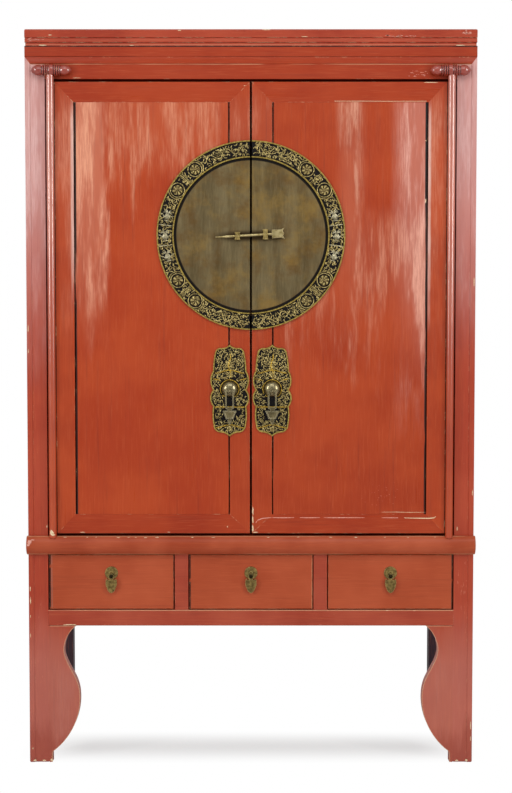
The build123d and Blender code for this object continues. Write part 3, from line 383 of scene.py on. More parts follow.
# -------------------- inside and back
# Floor, shelf, bearers, runners, guides, drawer boxes and door battens are plain sawn softwood,
# browned with age and never lacquered. The back boards are the same, and a little redder.
def bare_wood(name, grain, pale=(150, 108, 72), dark=(96, 62, 40)):
    """Aged, unfinished softwood with long growth lines."""
    made, tree, place = blank(name)
    along = drawn_out(tree, place, GRAIN_SQUEEZE[grain])
    growth = cloud(tree, along, 160, 5, 0.6)
    broad = cloud(tree, along, 30, 3)
    colour = tint(tree, ramp(tree, growth, 0.35, 0.65), paint(*dark), paint(*pale))
    colour = tint(tree, ramp(tree, broad, 0.5, 0.7), colour, paint(*dark), 0.35)
    finish(tree, {"Base Color": colour, "Roughness": 0.78, "Normal": dent(tree, growth, 0.25, 0.0015)})
    return made


wood_across = bare_wood("bare_wood_across", "x")
wood_deep = bare_wood("bare_wood_deep", "y")
wood_upright = bare_wood("bare_wood_upright", "z", (132, 84, 60), (84, 50, 36))
dress(wood_across, "cupboard_floor", "shelf", "shelf_bearers", "left_door_battens", "right_door_battens")
dress(wood_deep, "drawer_runners", "drawer_guides")
dress(wood_upright, "back_panels")

# -------------------- leg brackets
# Thick boards sawn to a double curve, one beside each front post, flush with its face. The sawn
# edge is worn pale all along the curve.
bracket_blooms = (FOOT_BLOOM, FLOOR_DIRT)
BRACKET_REDS = ((166, 60, 32), (178, 72, 42))
bracket_lacquer = lacquer(
    "bracket_lacquer", "z", *BRACKET_REDS, bracket_blooms, rub=2.4, worn=0.0046, joint=POST_INNER
)
dress(bracket_lacquer, "left_leg_bracket", "right_leg_bracket")
soften(0.0008, "left_leg_bracket", "right_leg_bracket")


# -------------------- pivot blocks
# Short turnings on the head rail, with a barrel, two rings and an olive tip each way. The door's rod
# turns in a blind hole in the barrel. The flat back of each lies against the rail.
def skin(form, rows):
    """Faces between closed rows of points, and a lid on the first row and the last."""
    form.faces.new(rows[0])
    form.faces.new(rows[-1])
    for first, second in zip(rows, rows[1:]):
        for k in range(len(first)):
            form.faces.new((first[k - 1], first[k], second[k], second[k - 1]))


def fit(name, form, material, body, smooth=True):
    """Turns a finished form into a piece that rides on a body."""
    mesh = bpy.data.meshes.new(name)
    bmesh.ops.recalc_face_normals(form, faces=form.faces)
    form.to_mesh(mesh)
    form.free()
    for face in mesh.polygons:
        face.use_smooth = smooth
    mesh.materials.append(material)
    piece = bpy.data.objects.new(name, mesh)
    bpy.context.scene.collection.objects.link(piece)
    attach(piece, body)
    return piece


BLOCK_OUT = 0.5015
BLOCK_GROOVES = (-22.9, -17.6, -11.9, -6.6, 6.6, 11.9, 17.6, 22.9)
BLOCK_SIDES = 48
# distance from the block's middle and radius, in mm: the barrel, its two rings and the olive
BLOCK_TURNING = (
    *((0.0, 15.4), (4.6, 15.4), (5.6, 14.6), (6.2, 12.4), (7.0, 12.4), (7.8, 14.4), (9.2, 15.2)),
    *((10.6, 14.4), (11.4, 11.8), (12.4, 11.8), (13.2, 14.2), (14.8, 15.4), (16.4, 14.2), (17.2, 11.2)),
    *((18.2, 11.2), (19.0, 13.0), (20.4, 13.9), (21.8, 13.0), (22.6, 10.4), (24.0, 10.8), (27.0, 12.5)),
    *((31.0, 13.3), (35.0, 13.2), (39.0, 12.3), (43.0, 10.5), (46.6, 8.0), (49.6, 4.8), (51.2, 2.0)),
    (51.5, 0.3),
)
# painted shade in the turning's grooves
groove_lines = [("out", BLOCK_OUT + off / 1000, 0.0013, 0.85, PAINTED_SHADE) for off in BLOCK_GROOVES]
block_lacquer = lacquer(
    "block_lacquer", "x", (142, 44, 28), (166, 62, 42), lines=groove_lines, rub=0.3, rod=(0.01, 1.6)
)
for side in ("left", "right"):
    low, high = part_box(f"{side}_pivot_block")
    middle = Vector(((low.x + high.x) / 2, low.y + (high.z - low.z) / 2, (low.z + high.z) / 2))
    form = bmesh.new()
    profile = [(-along, radius) for along, radius in reversed(BLOCK_TURNING[1:])] + list(BLOCK_TURNING)
    rows = []
    for along, radius in profile:
        row = []
        for k in range(BLOCK_SIDES):
            angle = 2 * math.pi * k / BLOCK_SIDES
            y = min(middle.y + radius * math.cos(angle) / 1000, high.y)
            z = middle.z + radius * math.sin(angle) / 1000
            row.append(form.verts.new((middle.x + along / 1000, y, z)))
        rows.append(row)
    skin(form, rows)
    turned = fit(f"{side}_turned_block", form, block_lacquer, "carcass")
    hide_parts(f"{side}_pivot_block")
    dress(block_lacquer, f"{side}_pivot_block")

# -------------------- doors
# Mitred frames round a single broad panel, which is battened behind and lies flush in front with an
# open shrinkage gap down each side. The hinge stile carries the rod that the door turns on.
OUTER_GAP = 0.4432
INNER_GAP = 0.0572
ROD_EDGE = 0.4957
ROD_GROOVE = 0.4948
# pale sheens of the light from above, painted on the stiles, beside the outer panel gap and on the rod
STILE_PAINTED_SHEEN = dict(low=1.04, high=1.7, strength=0.5, pale=(226, 152, 122), fade=1.74)
GAP_PAINTED_SHEEN = dict(low=1.1, high=1.4, strength=0.6, pale=(240, 212, 200), fade=1.72, ragged=0.6)
GAP_PAINTED_SHEEN["band"] = (0.4505, 0.006, 0.002)
ROD_PAINTED_SHEEN = dict(low=1.0, high=1.6, strength=0.2, pale=(238, 196, 182), ragged=0.4, beyond=ROD_EDGE)
# the left panel has a painted sheen of the light from above down its outer side and along the top
OUTER_PAINTED_SHEEN = dict(low=0.98, high=1.46, strength=0.98, pale=(234, 162, 132), ragged=0.8)
OUTER_PAINTED_SHEEN |= dict(band=(0.41, 0.054, 0.034), stray=0.07)
TOP_PAINTED_SHEEN = dict(low=1.44, high=1.62, strength=0.54, pale=(232, 160, 126))
# the right panel has two runs of painted sheen with a fainter painted sheen between them, and painted shade
# fills the gap's top
OUTER_SHEEN_RUN = dict(low=0.86, high=1.4, strength=0.92, pale=(240, 184, 168), ragged=0.85)
OUTER_SHEEN_RUN["band"] = (0.436, 0.09, 0.02)
INNER_SHEEN_RUN = dict(low=1.0, high=1.4, strength=0.7, pale=(240, 184, 156), band=(0.25, 0.046, 0.0))
FAINT_PAINTED_SHEEN = dict(low=1.02, high=1.3, strength=0.5, pale=(232, 160, 130), fade=1.44)
GAP_PAINTED_SHADE = dict(low=1.36, high=1.46, strength=1.0, pale=PAINTED_SHADE, ragged=0.0, band=(0.4424, 0.0030, 0.0022))
# painted shade along the panel gaps and in the rod's groove
gap_lines = (("out", OUTER_GAP, 0.0030, 0.95, PAINTED_SHADE), ("out", INNER_GAP, 0.0010, 0.8, PAINTED_SHADE))
rod_lines = (("out", ROD_GROOVE, 0.0012, 0.8, PAINTED_SHADE),)
rod_painted_sheens = (STILE_PAINTED_SHEEN, GAP_PAINTED_SHEEN, ROD_PAINTED_SHEEN)
left_painted_sheens = (OUTER_PAINTED_SHEEN, TOP_PAINTED_SHEEN)
right_painted_sheen_and_shade = (OUTER_SHEEN_RUN, INNER_SHEEN_RUN, FAINT_PAINTED_SHEEN, GAP_PAINTED_SHADE)
stile_lacquer = lacquer("stile_lacquer", "z", (163, 54, 18), (179, 67, 28), (STILE_PAINTED_SHEEN,), rub=0.6)
door_rail_lacquer = lacquer("door_rail_lacquer", "x", (160, 50, 16), (174, 62, 24), rub=0.6)
rod_lacquer = lacquer(
    "rod_lacquer", "z", (168, 58, 22), (188, 74, 32), rod_painted_sheens, rod_lines, rub=0.6, rod=(ROD_EDGE, 1.74)
)
PANELS = {
    "left": ((170, 56, 18), (184, 70, 28), left_painted_sheens),
    "right": ((164, 54, 18), (180, 68, 28), right_painted_sheen_and_shade),
}
for side, (deep, bright, sheen_shade_and_dust) in PANELS.items():
    panel_lacquer = lacquer(f"{side}_panel_lacquer", "z", deep, bright, sheen_shade_and_dust, gap_lines, rub=0.3)
    dress(rod_lacquer, f"{side}_hinge_stile")
    dress(stile_lacquer, f"{side}_meeting_stile")
    dress(door_rail_lacquer, f"{side}_door_rails")
    dress(panel_lacquer, f"{side}_door_panel")
    soften(0.0006, f"{side}_meeting_stile", f"{side}_door_rails", f"{side}_door_panel")

# -------------------- round lock plate
# One disc of sheet brass, cut down the middle, half on each door. It has dulled to an olive brown,
# with upright rub marks and stains. A black line of painted shadow lies where it meets the border, and
# a soft painted shadow lies under the pin.
border_low, border_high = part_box("left_disc_border")
DISC_RADIUS = (border_high.z - border_low.z) / 2
DISC_MIDDLE = (border_high.z + border_low.z) / 2
BORDER_WIDE = 0.044
PLATE_EDGE = DISC_RADIUS - BORDER_WIDE
PIN_SHADE = (9.6, 0, 62.0)


def distance(tree, place, middle, factors=(1, 0, 1)):
    """How far a point is from a middle, in the plane of the doors unless factors say otherwise."""
    off = wire(tree, "VectorMath", {0: place, 1: middle}, operation="SUBTRACT")[0]
    return wire(tree, "VectorMath", {0: drawn_out(tree, off, factors)}, operation="LENGTH")["Value"]


plate_brass, tree, place = blank("disc_brass")
rubbed = drawn_out(tree, place, (1, 1, 0.14))
broad = cloud(tree, rubbed, 26, 4, 0.6)
fine = cloud(tree, rubbed, 230, 4, 0.7)
stain = cloud(tree, place, 15, 5, 0.66)
warm = cloud(tree, place, 12, 5, 0.66)
colour = tint(tree, ramp(tree, broad, 0.25, 0.75), paint(88, 75, 50), paint(118, 105, 76))
colour = tint(tree, ramp(tree, fine, 0.4, 0.75), colour, paint(150, 134, 98), 0.26)
colour = tint(tree, ramp(tree, stain, 0.42, 0.72), colour, paint(98, 70, 34), 0.7)
colour = tint(tree, ramp(tree, warm, 0.44, 0.76), colour, paint(146, 116, 58), 0.62)
# a soft painted shadow of the locking pin on the plate
pin_shadow_reach = distance(tree, place, (0.0, 0, DISC_MIDDLE - 0.001), PIN_SHADE)
colour = tint(tree, ramp(tree, pin_shadow_reach, 1.1, 0.4), colour, paint(50, 36, 22), 0.85)
# a black ring painted just inside the border's inner rim as its shadow; the plate is not metallic there
from_middle = distance(tree, place, (0, 0, DISC_MIDDLE))
rim_shadow = ramp(tree, from_middle, PLATE_EDGE - 0.0076, PLATE_EDGE - 0.0056)
colour = tint(tree, rim_shadow, colour, paint(10, 7, 8), 0.97)
gloss = wire(tree, "MapRange", {0: fine, 3: 0.46, 4: 0.66})[0]
metal = calc(tree, "SUBTRACT", 0.85, times(tree, rim_shadow, 0.85))
sheet = {"Base Color": colour, "Metallic": metal, "Roughness": gloss, "Specular IOR Level": 0.1}
sheet["Normal"] = dent(tree, fine, 0.1, 0.0006)
finish(tree, sheet)
dress(plate_brass, "left_disc_plate", "right_disc_plate")


# -------------------- cast border
# A cast ring round the plate: two bright rims with a blackened field between them, filled with gilt
# relief. Pairs of round medallions stand either side of striped spacers, with vases at the sides and
# vine scrolls over the top and along the bottom.
def gilt(name, bright, dull, shine=0.34, grime=0.0, mottle=260, polish=None, shaded_hollow=None):
    """Gilt or bare brass, mottled with age.

    Polish is the colour that handled edges take. A shaded hollow (x, z and radius) is painted black inside,
    as its shade.
    """
    made, tree, place = blank(name)
    mottled = cloud(tree, place, mottle, 3, 0.55)
    worn = cloud(tree, place, 45, 3)
    colour = tint(tree, ramp(tree, mottled, 0.3, 0.7), paint(*dull), paint(*bright))
    colour = tint(tree, ramp(tree, worn, 0.5, 0.7), colour, paint(120, 104, 66), 0.35)
    blackened = ramp(tree, cloud(tree, place, 150, 4, 0.7), 0.5, 0.66)
    colour = tint(tree, blackened, colour, paint(34, 26, 18), grime)
    if polish:
        colour = tint(tree, rubbed_edges(tree, 0.0012), colour, paint(*polish))
    # a near-black painted shade fills the hollow
    if shaded_hollow:
        x, z, radius = shaded_hollow
        inside = ramp(tree, distance(tree, place, (x, 0, z)), radius, radius * 0.5)
        colour = tint(tree, inside, colour, paint(24, 16, 12), 0.9)
    gloss = wire(tree, "MapRange", {0: mottled, 3: shine, 4: shine + 0.2})[0]
    finish(tree, {"Base Color": colour, "Metallic": 0.9, "Roughness": gloss})
    return made


def cast_ground(name, gilded):
    """A casting's sunk black ground, with gilding where gilded(tree, place) gives 1."""
    made, tree, place = blank(name)
    grime = cloud(tree, place, 260, 4, 0.7)
    rim = gilded(tree, place)
    black = tint(tree, ramp(tree, grime, 0.5, 0.78), paint(8, 6, 9), paint(60, 48, 28))
    gold = tint(tree, ramp(tree, grime, 0.36, 0.62), paint(136, 114, 54), paint(196, 172, 92))
    metal = calc(tree, "ADD", times(tree, rim, 0.75), 0.15)
    gloss = calc(tree, "SUBTRACT", 0.6, times(tree, rim, 0.22))
    casting = {"Metallic": metal, "Roughness": gloss, "Specular IOR Level": 0.15}
    finish(tree, {"Base Color": tint(tree, rim, black, gold), **casting})
    return made


def stroke(form, path, width, height, place, square=False):
    """A raised line along flat points, domed across and drawn out thin at its ends."""
    rows = []
    last = len(path) - 1
    for k, (u, v) in enumerate(path):
        before, after = path[max(k - 1, 0)], path[min(k + 1, last)]
        along = Vector((after[0] - before[0], after[1] - before[1])).normalized()
        swell = 1.0 if square else max(math.sin(math.pi * (k + 0.35) / (last + 0.7)), 0.12) ** 0.6
        half = width / 2 * swell
        row = []
        for side, rise in ((-1, -0.15), (-0.62, 0.8), (0.62, 0.8), (1, -0.15)):
            at = (u - along.y * half * side, v + along.x * half * side)
            row.append(form.verts.new(place(at[0], at[1], height * rise * (0.45 + 0.55 * swell))))
        rows.append(row)
    for first, second in zip(rows, rows[1:]):
        for k in range(3):
            form.faces.new((first[k], first[k + 1], second[k + 1], second[k]))
    for row in (rows[0], rows[-1]):
        form.faces.new(row)


def bent_leaf(u, v, heading, length, bend=0.5, steps=5):
    """Points of a curved leaf or tendril."""
    points = []
    for k in range(steps + 1):
        points.append((u, v))
        angle = heading + bend * k / steps
        u += math.cos(angle) * length / steps
        v += math.sin(angle) * length / steps
    return points


def ring(u, v, radius, steps=24):
    """Points of a closed circle."""
    turn = [2 * math.pi * k / steps for k in range(steps + 1)]
    return [(u + radius * math.cos(a), v + radius * math.sin(a)) for a in turn]


def foliage(form, low, high, gap, grows, place, height, seed):
    """Close-set curling leaves over a rectangle, wherever grows(u, v) allows."""
    chance = random.Random(seed)
    columns = int((high[0] - low[0]) / gap) + 1
    rows = int((high[1] - low[1]) / (gap * 0.87)) + 1
    for row in range(rows):
        for column in range(columns):
            u = low[0] + (column + row % 2 / 2 + chance.uniform(-0.25, 0.25)) * gap
            v = low[1] + (row + chance.uniform(-0.25, 0.25)) * gap * 0.87
            heading = chance.uniform(0, 2 * math.pi)
            length = gap * chance.uniform(1.25, 2.1)
            bend = chance.choice((-1, 1)) * chance.uniform(0.8, 3.4)
            start = (u - math.cos(heading) * length * 0.35, v - math.sin(heading) * length * 0.35)
            path = bent_leaf(*start, heading, length, bend)
            if chance.random() > 0.16 and grows(*start) and grows(u, v) and grows(*path[-1]):
                stroke(form, path, gap * chance.uniform(0.38, 0.56), height * chance.uniform(0.75, 1), place)


RIM = 0.0044
FIELD_MIDDLE = DISC_RADIUS - BORDER_WIDE / 2
FIELD_HALF = BORDER_WIDE / 2 - RIM + 0.0006
FIELD_FACE = border_low.y + 0.0018
RELIEF_RISE = 0.0018
LEAF_GAP = 0.0058
SEAM_CLEAR = 0.0029
SEAM_DEGREES = 89.1
MEDALLIONS = (31.5, 49.5)
MEDALLION_RADIUS = 0.0178
CUSHION_RADIUS = 0.0132
CUSHION_SIDES = 24
VASES = (-13.5, 0.0, 13.5)
VASE_TALL = 0.03
VASE_BARS = (-6.8, 6.8)
STEM_START, STEM_REACH, STEM_STEPS = 59, 29.4, 45


def border_rims(tree, place):
    """Gilding on the two rims of the border, and none on its field."""
    reach = distance(tree, place, (0, 0, DISC_MIDDLE))
    outer = ramp(tree, reach, DISC_RADIUS - 0.0042, DISC_RADIUS - 0.0034)
    inner = ramp(tree, reach, PLATE_EDGE + 0.0044, PLATE_EDGE + 0.0036)
    return calc(tree, "MAXIMUM", outer, inner)


relief_gilt = gilt("relief_gilt", (196, 178, 118), (124, 106, 62), grime=0.75)
pale_gilt = gilt("pale_gilt", (208, 200, 168), (148, 140, 110), grime=0.35)
tarnished = gilt("tarnished", (112, 98, 62), (70, 58, 36), grime=0.6)
border_metal = cast_ground("border_metal", border_rims)
dress(border_metal, "left_disc_border", "right_disc_border")


def round_the_border(u, v, rise):
    """A point u along the field from the right-hand side, v out from its middle."""
    angle = u / FIELD_MIDDLE
    reach = FIELD_MIDDLE + max(min(v, BORDER_WIDE / 2), -BORDER_WIDE / 2)
    x, z = reach * math.cos(angle), reach * math.sin(angle)
    if abs(x) < SEAM_CLEAR:
        x = math.copysign(SEAM_CLEAR, x if x else 1)
    return (x, FIELD_FACE - rise, DISC_MIDDLE + z)


def chase(form, path, width, rise=1.0, square=False):
    """A raised line on the border's field."""
    stroke(form, path, width, RELIEF_RISE * rise, round_the_border, square)


def across_field(u):
    """Points of a bar from rim to rim."""
    return [(u, -FIELD_HALF), (u, 0), (u, FIELD_HALF)]


def medallion(form, cushions, u):
    """Round frame with a flower over a dull cushion that fills its field."""
    chase(form, ring(u, 0, MEDALLION_RADIUS, 32), 0.0026, 1.3, square=True)
    for turn in range(7):
        angle = 2 * math.pi * turn / 7
        heart = (u + 0.0034 * math.cos(angle), 0.0034 * math.sin(angle))
        chase(form, bent_leaf(*heart, angle - 0.5, 0.0106, 1.9, 6), 0.0034)
        bud = (u + 0.0092 * math.cos(angle + 0.5), 0.0092 * math.sin(angle + 0.5))
        chase(form, bent_leaf(*bud, angle + 1.4, 0.0062, 1.2, 3), 0.0024, 0.8)
    chase(form, ring(u, 0, 0.0012, 6), 0.0024, 1.2, square=True)
    crown, foot = [], []
    for k in range(CUSHION_SIDES):
        angle = 2 * math.pi * k / CUSHION_SIDES
        lip = CUSHION_RADIUS * (1 + 0.06 * math.cos(8 * angle))
        spot = (u + lip * math.cos(angle), lip * math.sin(angle))
        crown.append(cushions.verts.new(round_the_border(*spot, RELIEF_RISE * 0.4)))
        foot.append(cushions.verts.new(round_the_border(*spot, -0.0002)))
    skin(cushions, (crown, foot))


def vase(form, u, up, tall):
    """A footed vase with a spray of leaves; it stands upright at the side of the plate."""
    upward = 0 if up > 0 else math.pi
    for k in range(-2, 3):
        belly = [(u - up * tall * 0.4, k * 0.0016), (u - up * tall * 0.1, k * 0.0029)]
        chase(form, belly + [(u + up * tall * 0.2, k * 0.0012)], 0.0027)
    for hand in (-1, 1):
        handle = bent_leaf(u - up * tall * 0.3, hand * 0.0075, upward, tall * 0.6, hand * up * 2.2)
        chase(form, handle, 0.0018)
        for k in range(3):
            heading = hand * up * (0.3 + 0.5 * k) + upward
            spray = bent_leaf(u + up * tall * 0.2, hand * 0.001, heading, tall * 0.36, hand * up * 0.9)
            chase(form, spray, 0.0024)
    foot = [(u - up * tall * 0.46, -0.0066), (u - up * tall * 0.46, 0.0066)]
    chase(form, foot, 0.0022, square=True)


for side, facing in (("left", 180), ("right", 0)):
    start = math.radians(facing) * FIELD_MIDDLE
    medallion_places = [start + up * math.radians(d) * FIELD_MIDDLE for up in (-1, 1) for d in MEDALLIONS]
    vase_places = [start + math.radians(d) * FIELD_MIDDLE for d in VASES]
    seam_u = math.radians(SEAM_DEGREES) * FIELD_MIDDLE

    def field_is_free(u, v):
        """Room for foliage: inside the rims, off the seam, and clear of medallions and vases."""
        if abs(v) > FIELD_HALF or abs(u - start) > seam_u:
            return False
        for centre in medallion_places:
            if math.hypot(u - centre, v) < MEDALLION_RADIUS + 0.0024:
                return False
        return all(math.hypot((u - centre) * 0.8, v) > 0.008 for centre in vase_places)

    gilt_form = bmesh.new()
    corners = ((start - seam_u, -FIELD_HALF), (start + seam_u, FIELD_HALF))
    foliage(gilt_form, *corners, LEAF_GAP, field_is_free, round_the_border, RELIEF_RISE, facing + 3)
    for up in (-1, 1):
        # a strong waving stem through the scrolls over the top and along the bottom
        stem = []
        for k in range(STEM_STEPS + 1):
            degrees = STEM_START + STEM_REACH * k / STEM_STEPS
            wave = 0.0098 * math.sin(math.pi * 5 * k / STEM_STEPS)
            stem.append((start + up * math.radians(degrees) * FIELD_MIDDLE, wave))
        chase(gilt_form, stem, 0.003, 1.2, square=True)
        # stripes between the medallions of a pair, and curved brackets outside them
        middle = start + up * math.radians(sum(MEDALLIONS) / 2) * FIELD_MIDDLE
        for k in (-1, 0, 1):
            chase(gilt_form, across_field(middle + k * 0.0036), 0.002, square=True)
        for degrees, hand in zip(MEDALLIONS, (-1, 1)):
            u = start + up * math.radians(degrees) * FIELD_MIDDLE
            reach = MEDALLION_RADIUS + 0.0046
            bracket = []
            for k in range(9):
                angle = (k - 4) * 0.24
                bracket.append((u + up * hand * reach * math.cos(angle), reach * math.sin(angle)))
            chase(gilt_form, bracket, 0.0026, 1.2, square=True)
    cushion_form = bmesh.new()
    for u in medallion_places:
        medallion(gilt_form, cushion_form, u)
    fit(f"{side}_border_cushions", cushion_form, tarnished, f"{side}_door")
    fit(f"{side}_border_relief", gilt_form, relief_gilt, f"{side}_door")
    pale_form = bmesh.new()
    for u in vase_places:
        vase(pale_form, u, 1 if side == "right" else -1, VASE_TALL)
    for degrees in VASE_BARS:
        bar = across_field(start + math.radians(degrees) * FIELD_MIDDLE)
        chase(pale_form, bar, 0.0022, square=True)
    fit(f"{side}_border_vases", pale_form, pale_gilt, f"{side}_door")

# -------------------- staples and locking pin
# Two waisted staples, riveted through the plate, and the tapered pin with a crown-shaped head that
# bars both doors. Handling keeps them brighter than the plate.
PIN_POLISH = (244, 234, 196)
STAPLE_POLISH = (226, 206, 146)
PIN_BRASSES = ((206, 190, 138), (148, 130, 82))
STAPLE_BRASSES = ((176, 154, 92), (116, 96, 50))
pin_brass = gilt("pin_brass", *PIN_BRASSES, shine=0.22, mottle=90, polish=PIN_POLISH)
staple_brass = gilt("staple_brass", *STAPLE_BRASSES, shine=0.28, mottle=120, polish=STAPLE_POLISH)
dress(staple_brass, "left_lock_staple", "right_lock_staple")
dress(pin_brass, "lock_pin")

# -------------------- pull plates
# Cast plates with a scalloped outline, a raised gilt rim and a blackened ground. A flowering stem
# climbs each plate among curling leaves, crossed by gilt bands.
plate_low, plate_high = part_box("left_pull_plate")
PLATE_MIDDLE = (plate_high.z + plate_low.z) / 2
PLATE_GROUND = plate_low.y + 0.0012
PLATE_RISE = 0.0016
PLATE_LEAF_GAP = 0.0053
PLATE_CORNERS = ((-0.046, -0.108), (0.046, 0.11))
PLATE_BANDS = ((0.048, 0.004), (0.025, -0.005), (-0.042, 0.0), (-0.091, 0.004))
PLATE_BLOSSOMS = ((0.066, 0.0105), (0.04, 0.009), (-0.098, 0.0075))
BOSS_HEIGHT = sum(corner.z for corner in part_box("left_pull_boss")) / 2
BOSS_V = BOSS_HEIGHT - PLATE_MIDDLE
HALO_RADIUS = 0.0236


def plate_rim(tree, place):
    """Gilding on whatever stands at the height of the rim."""
    axes = wire(tree, "SeparateXYZ", {0: place})
    return ramp(tree, axes["Y"], PLATE_GROUND - 0.0004, PLATE_GROUND - 0.0007)


def plate_reach(v):
    """How far the ground reaches sideways at a height from the plate's middle."""
    if abs(v) > 0.088:
        return 0.0375 * math.sqrt(max(1 - ((abs(v) - 0.088) / 0.022) ** 3, 0))
    upper = math.cos(min(abs(v - 0.024) / 0.024, 1) * math.pi / 2)
    lower = math.cos(min(abs(v + 0.018) / 0.021, 1) * math.pi / 2)
    return 0.039 + 0.0068 * max(upper, lower)


def blossom(form, cv, size, petals, place, height):
    """A round flower on the plate's stem: petals about a button."""
    for k in range(petals):
        angle = 2 * math.pi * k / petals
        root = (0.3 * size * math.cos(angle), cv + 0.3 * size * math.sin(angle))
        petal = bent_leaf(*root, angle - 0.25, size * 0.72, 0.5, 4)
        stroke(form, petal, size * 0.5, height, place)
    stroke(form, ring(0, cv, size * 0.13, 6), size * 0.24, height * 1.2, place, square=True)


plate_metal = cast_ground("plate_metal", plate_rim)
band_gilt = gilt("band_gilt", (190, 156, 58), (132, 104, 36), grime=0.5)
dress(plate_metal, "left_pull_plate", "right_pull_plate")
for side, seed in (("left", 41), ("right", 57)):
    low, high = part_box(f"{side}_pull_plate")
    middle_x = (low.x + high.x) / 2

    def on_the_plate(u, v, rise):
        """A point of the plate's ground, measured from its middle."""
        return (middle_x + u, PLATE_GROUND - rise, PLATE_MIDDLE + v)

    def ground_is_free(u, v):
        """Room for leaves: inside the rim, off the pull's tongue, and clear of the boss's halo."""
        if abs(v) > 0.11 or abs(u) > plate_reach(v):
            return False
        if abs(u) < 0.0125 and -0.052 < v < 0:
            return False
        if abs(u) < 0.016 and -0.072 < v < -0.048:
            return False
        return math.hypot(u, v - BOSS_V) > HALO_RADIUS + 0.001

    gilt_form = bmesh.new()
    foliage(gilt_form, *PLATE_CORNERS, PLATE_LEAF_GAP, ground_is_free, on_the_plate, PLATE_RISE, seed)
    halo = ring(0, BOSS_V, HALO_RADIUS, 36)
    halo = [point for point in halo if point[1] > BOSS_V - 0.014 or abs(point[0]) > 0.014]
    bright_form = bmesh.new()
    for arc in (halo[:22], halo[22:]):
        if len(arc) > 2:
            stroke(bright_form, arc, 0.003, PLATE_RISE, on_the_plate, square=True)
    stem = [(0.003 * math.sin(k * 0.7), BOSS_V + 0.026 + k * 0.005) for k in range(14)]
    stroke(bright_form, stem, 0.0046, PLATE_RISE * 1.2, on_the_plate)
    for v, sag in PLATE_BANDS:
        reach = plate_reach(v) - 0.0015
        band = [(reach * t / 6, v + sag * math.cos(t / 6 * math.pi)) for t in range(-6, 7)]
        if abs(v - BOSS_V) < HALO_RADIUS:
            for hand in (slice(0, 4), slice(9, 13)):
                stroke(bright_form, band[hand], 0.0036, PLATE_RISE, on_the_plate)
        else:
            stroke(bright_form, band, 0.0036, PLATE_RISE, on_the_plate, square=True)
    for v, size in PLATE_BLOSSOMS:
        blossom(gilt_form, v, size, 8, on_the_plate, PLATE_RISE * 1.25)
    fit(f"{side}_plate_relief", gilt_form, relief_gilt, f"{side}_door")
    fit(f"{side}_plate_bands", bright_form, band_gilt, f"{side}_door")

# -------------------- bosses and hanging pulls
# A turned dome on each plate carries the cotter eye. The pull hangs in it by a narrow bail and ends
# in a bevelled tongue with a small drop. All of it is polished by use.
PULL_POLISH = (222, 212, 176)
dome_brass = gilt("dome_brass", (152, 142, 110), (108, 98, 70), shine=0.16)
pull_brass = gilt("pull_brass", (132, 120, 86), (94, 84, 58), shine=0.34, mottle=90, polish=PULL_POLISH)
DOME_SIDES = 56
# height over the plate and radius, in mm
DOME_TURNING = (
    *((0.0, 20.5), (0.9, 20.5), (1.6, 19.9), (3.4, 19.2), (5.6, 17.9), (7.6, 16.0), (9.2, 14.0)),
    *((10.6, 11.4), (11.7, 8.6), (12.5, 5.6), (12.9, 2.8), (13.0, 0.4)),
)
EYE_BACK = 0.0176
EYE_DOWN = 0.004
EYE_RADIUS = 0.0041
EYE_THICK, EYE_WIDE = 0.0009, 0.0022
EYE_STEPS, EYE_SIDES = 28, 8
for side in ("left", "right"):
    low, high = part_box(f"{side}_pull_boss")
    middle = Vector(((low.x + high.x) / 2, high.y, (low.z + high.z) / 2))
    eye = Vector((middle.x, high.y - EYE_BACK, middle.z - EYE_DOWN))
    form = bmesh.new()
    rows = []
    for rise, radius in DOME_TURNING:
        row = []
        for k in range(DOME_SIDES):
            angle = 2 * math.pi * k / DOME_SIDES
            around = Vector((radius * math.cos(angle), -rise, radius * math.sin(angle))) / 1000
            row.append(form.verts.new(middle + around))
        rows.append(row)
    skin(form, rows)
    rows = []
    for k in range(EYE_STEPS):
        angle = 2 * math.pi * k / EYE_STEPS
        out = Vector((0, math.cos(angle), math.sin(angle)))
        row = []
        for j in range(EYE_SIDES):
            turn = 2 * math.pi * j / EYE_SIDES
            wide = Vector((EYE_WIDE * math.cos(turn), 0, 0))
            row.append(form.verts.new(eye + out * (EYE_RADIUS + EYE_THICK * math.sin(turn)) + wide))
        rows.append(row)
    for k in range(EYE_STEPS):
        for j in range(EYE_SIDES):
            form.faces.new((rows[k - 1][j - 1], rows[k][j - 1], rows[k][j], rows[k - 1][j]))
    boss = fit(f"{side}_domed_boss", form, dome_brass, f"{side}_door")
    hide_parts(f"{side}_pull_boss")
    dress(dome_brass, f"{side}_pull_boss")
    dress(pull_brass, f"{side}_door_pull")

# -------------------- drawers
# Three drawers with thick lacquered fronts, dovetailed to plain sides. Their arrises are rubbed pale
# where they meet the openings, and painted shade lies in the gaps at their ends.
# dark lines of painted shade in the gaps, and two pale lines along arrises
drawer_lines = (
    ("X", -0.5158, 0.0034, 0.9, PAINTED_SHADE),
    ("X", -0.5106, 0.0011, 0.7, (160, 122, 108)),
    ("X", -0.1560, 0.0024, 0.85, PAINTED_SHADE),
    ("X", 0.5160, 0.0024, 0.85, PAINTED_SHADE),
    ("X", -0.1986, 0.0014, 0.6, PAINTED_SHADE),
    ("X", 0.1566, 0.0012, 0.3, CREAM),
)
drawer_lacquer = lacquer(
    "drawer_lacquer", "x", (170, 70, 34), (186, 84, 48), lines=drawer_lines, rub=1.0, shine=0.42
)
for name in ("left", "middle", "right"):
    dress(drawer_lacquer, f"{name}_drawer_front")
    dress(wood_deep, f"{name}_drawer_box")
    soften(0.0008, f"{name}_drawer_front")

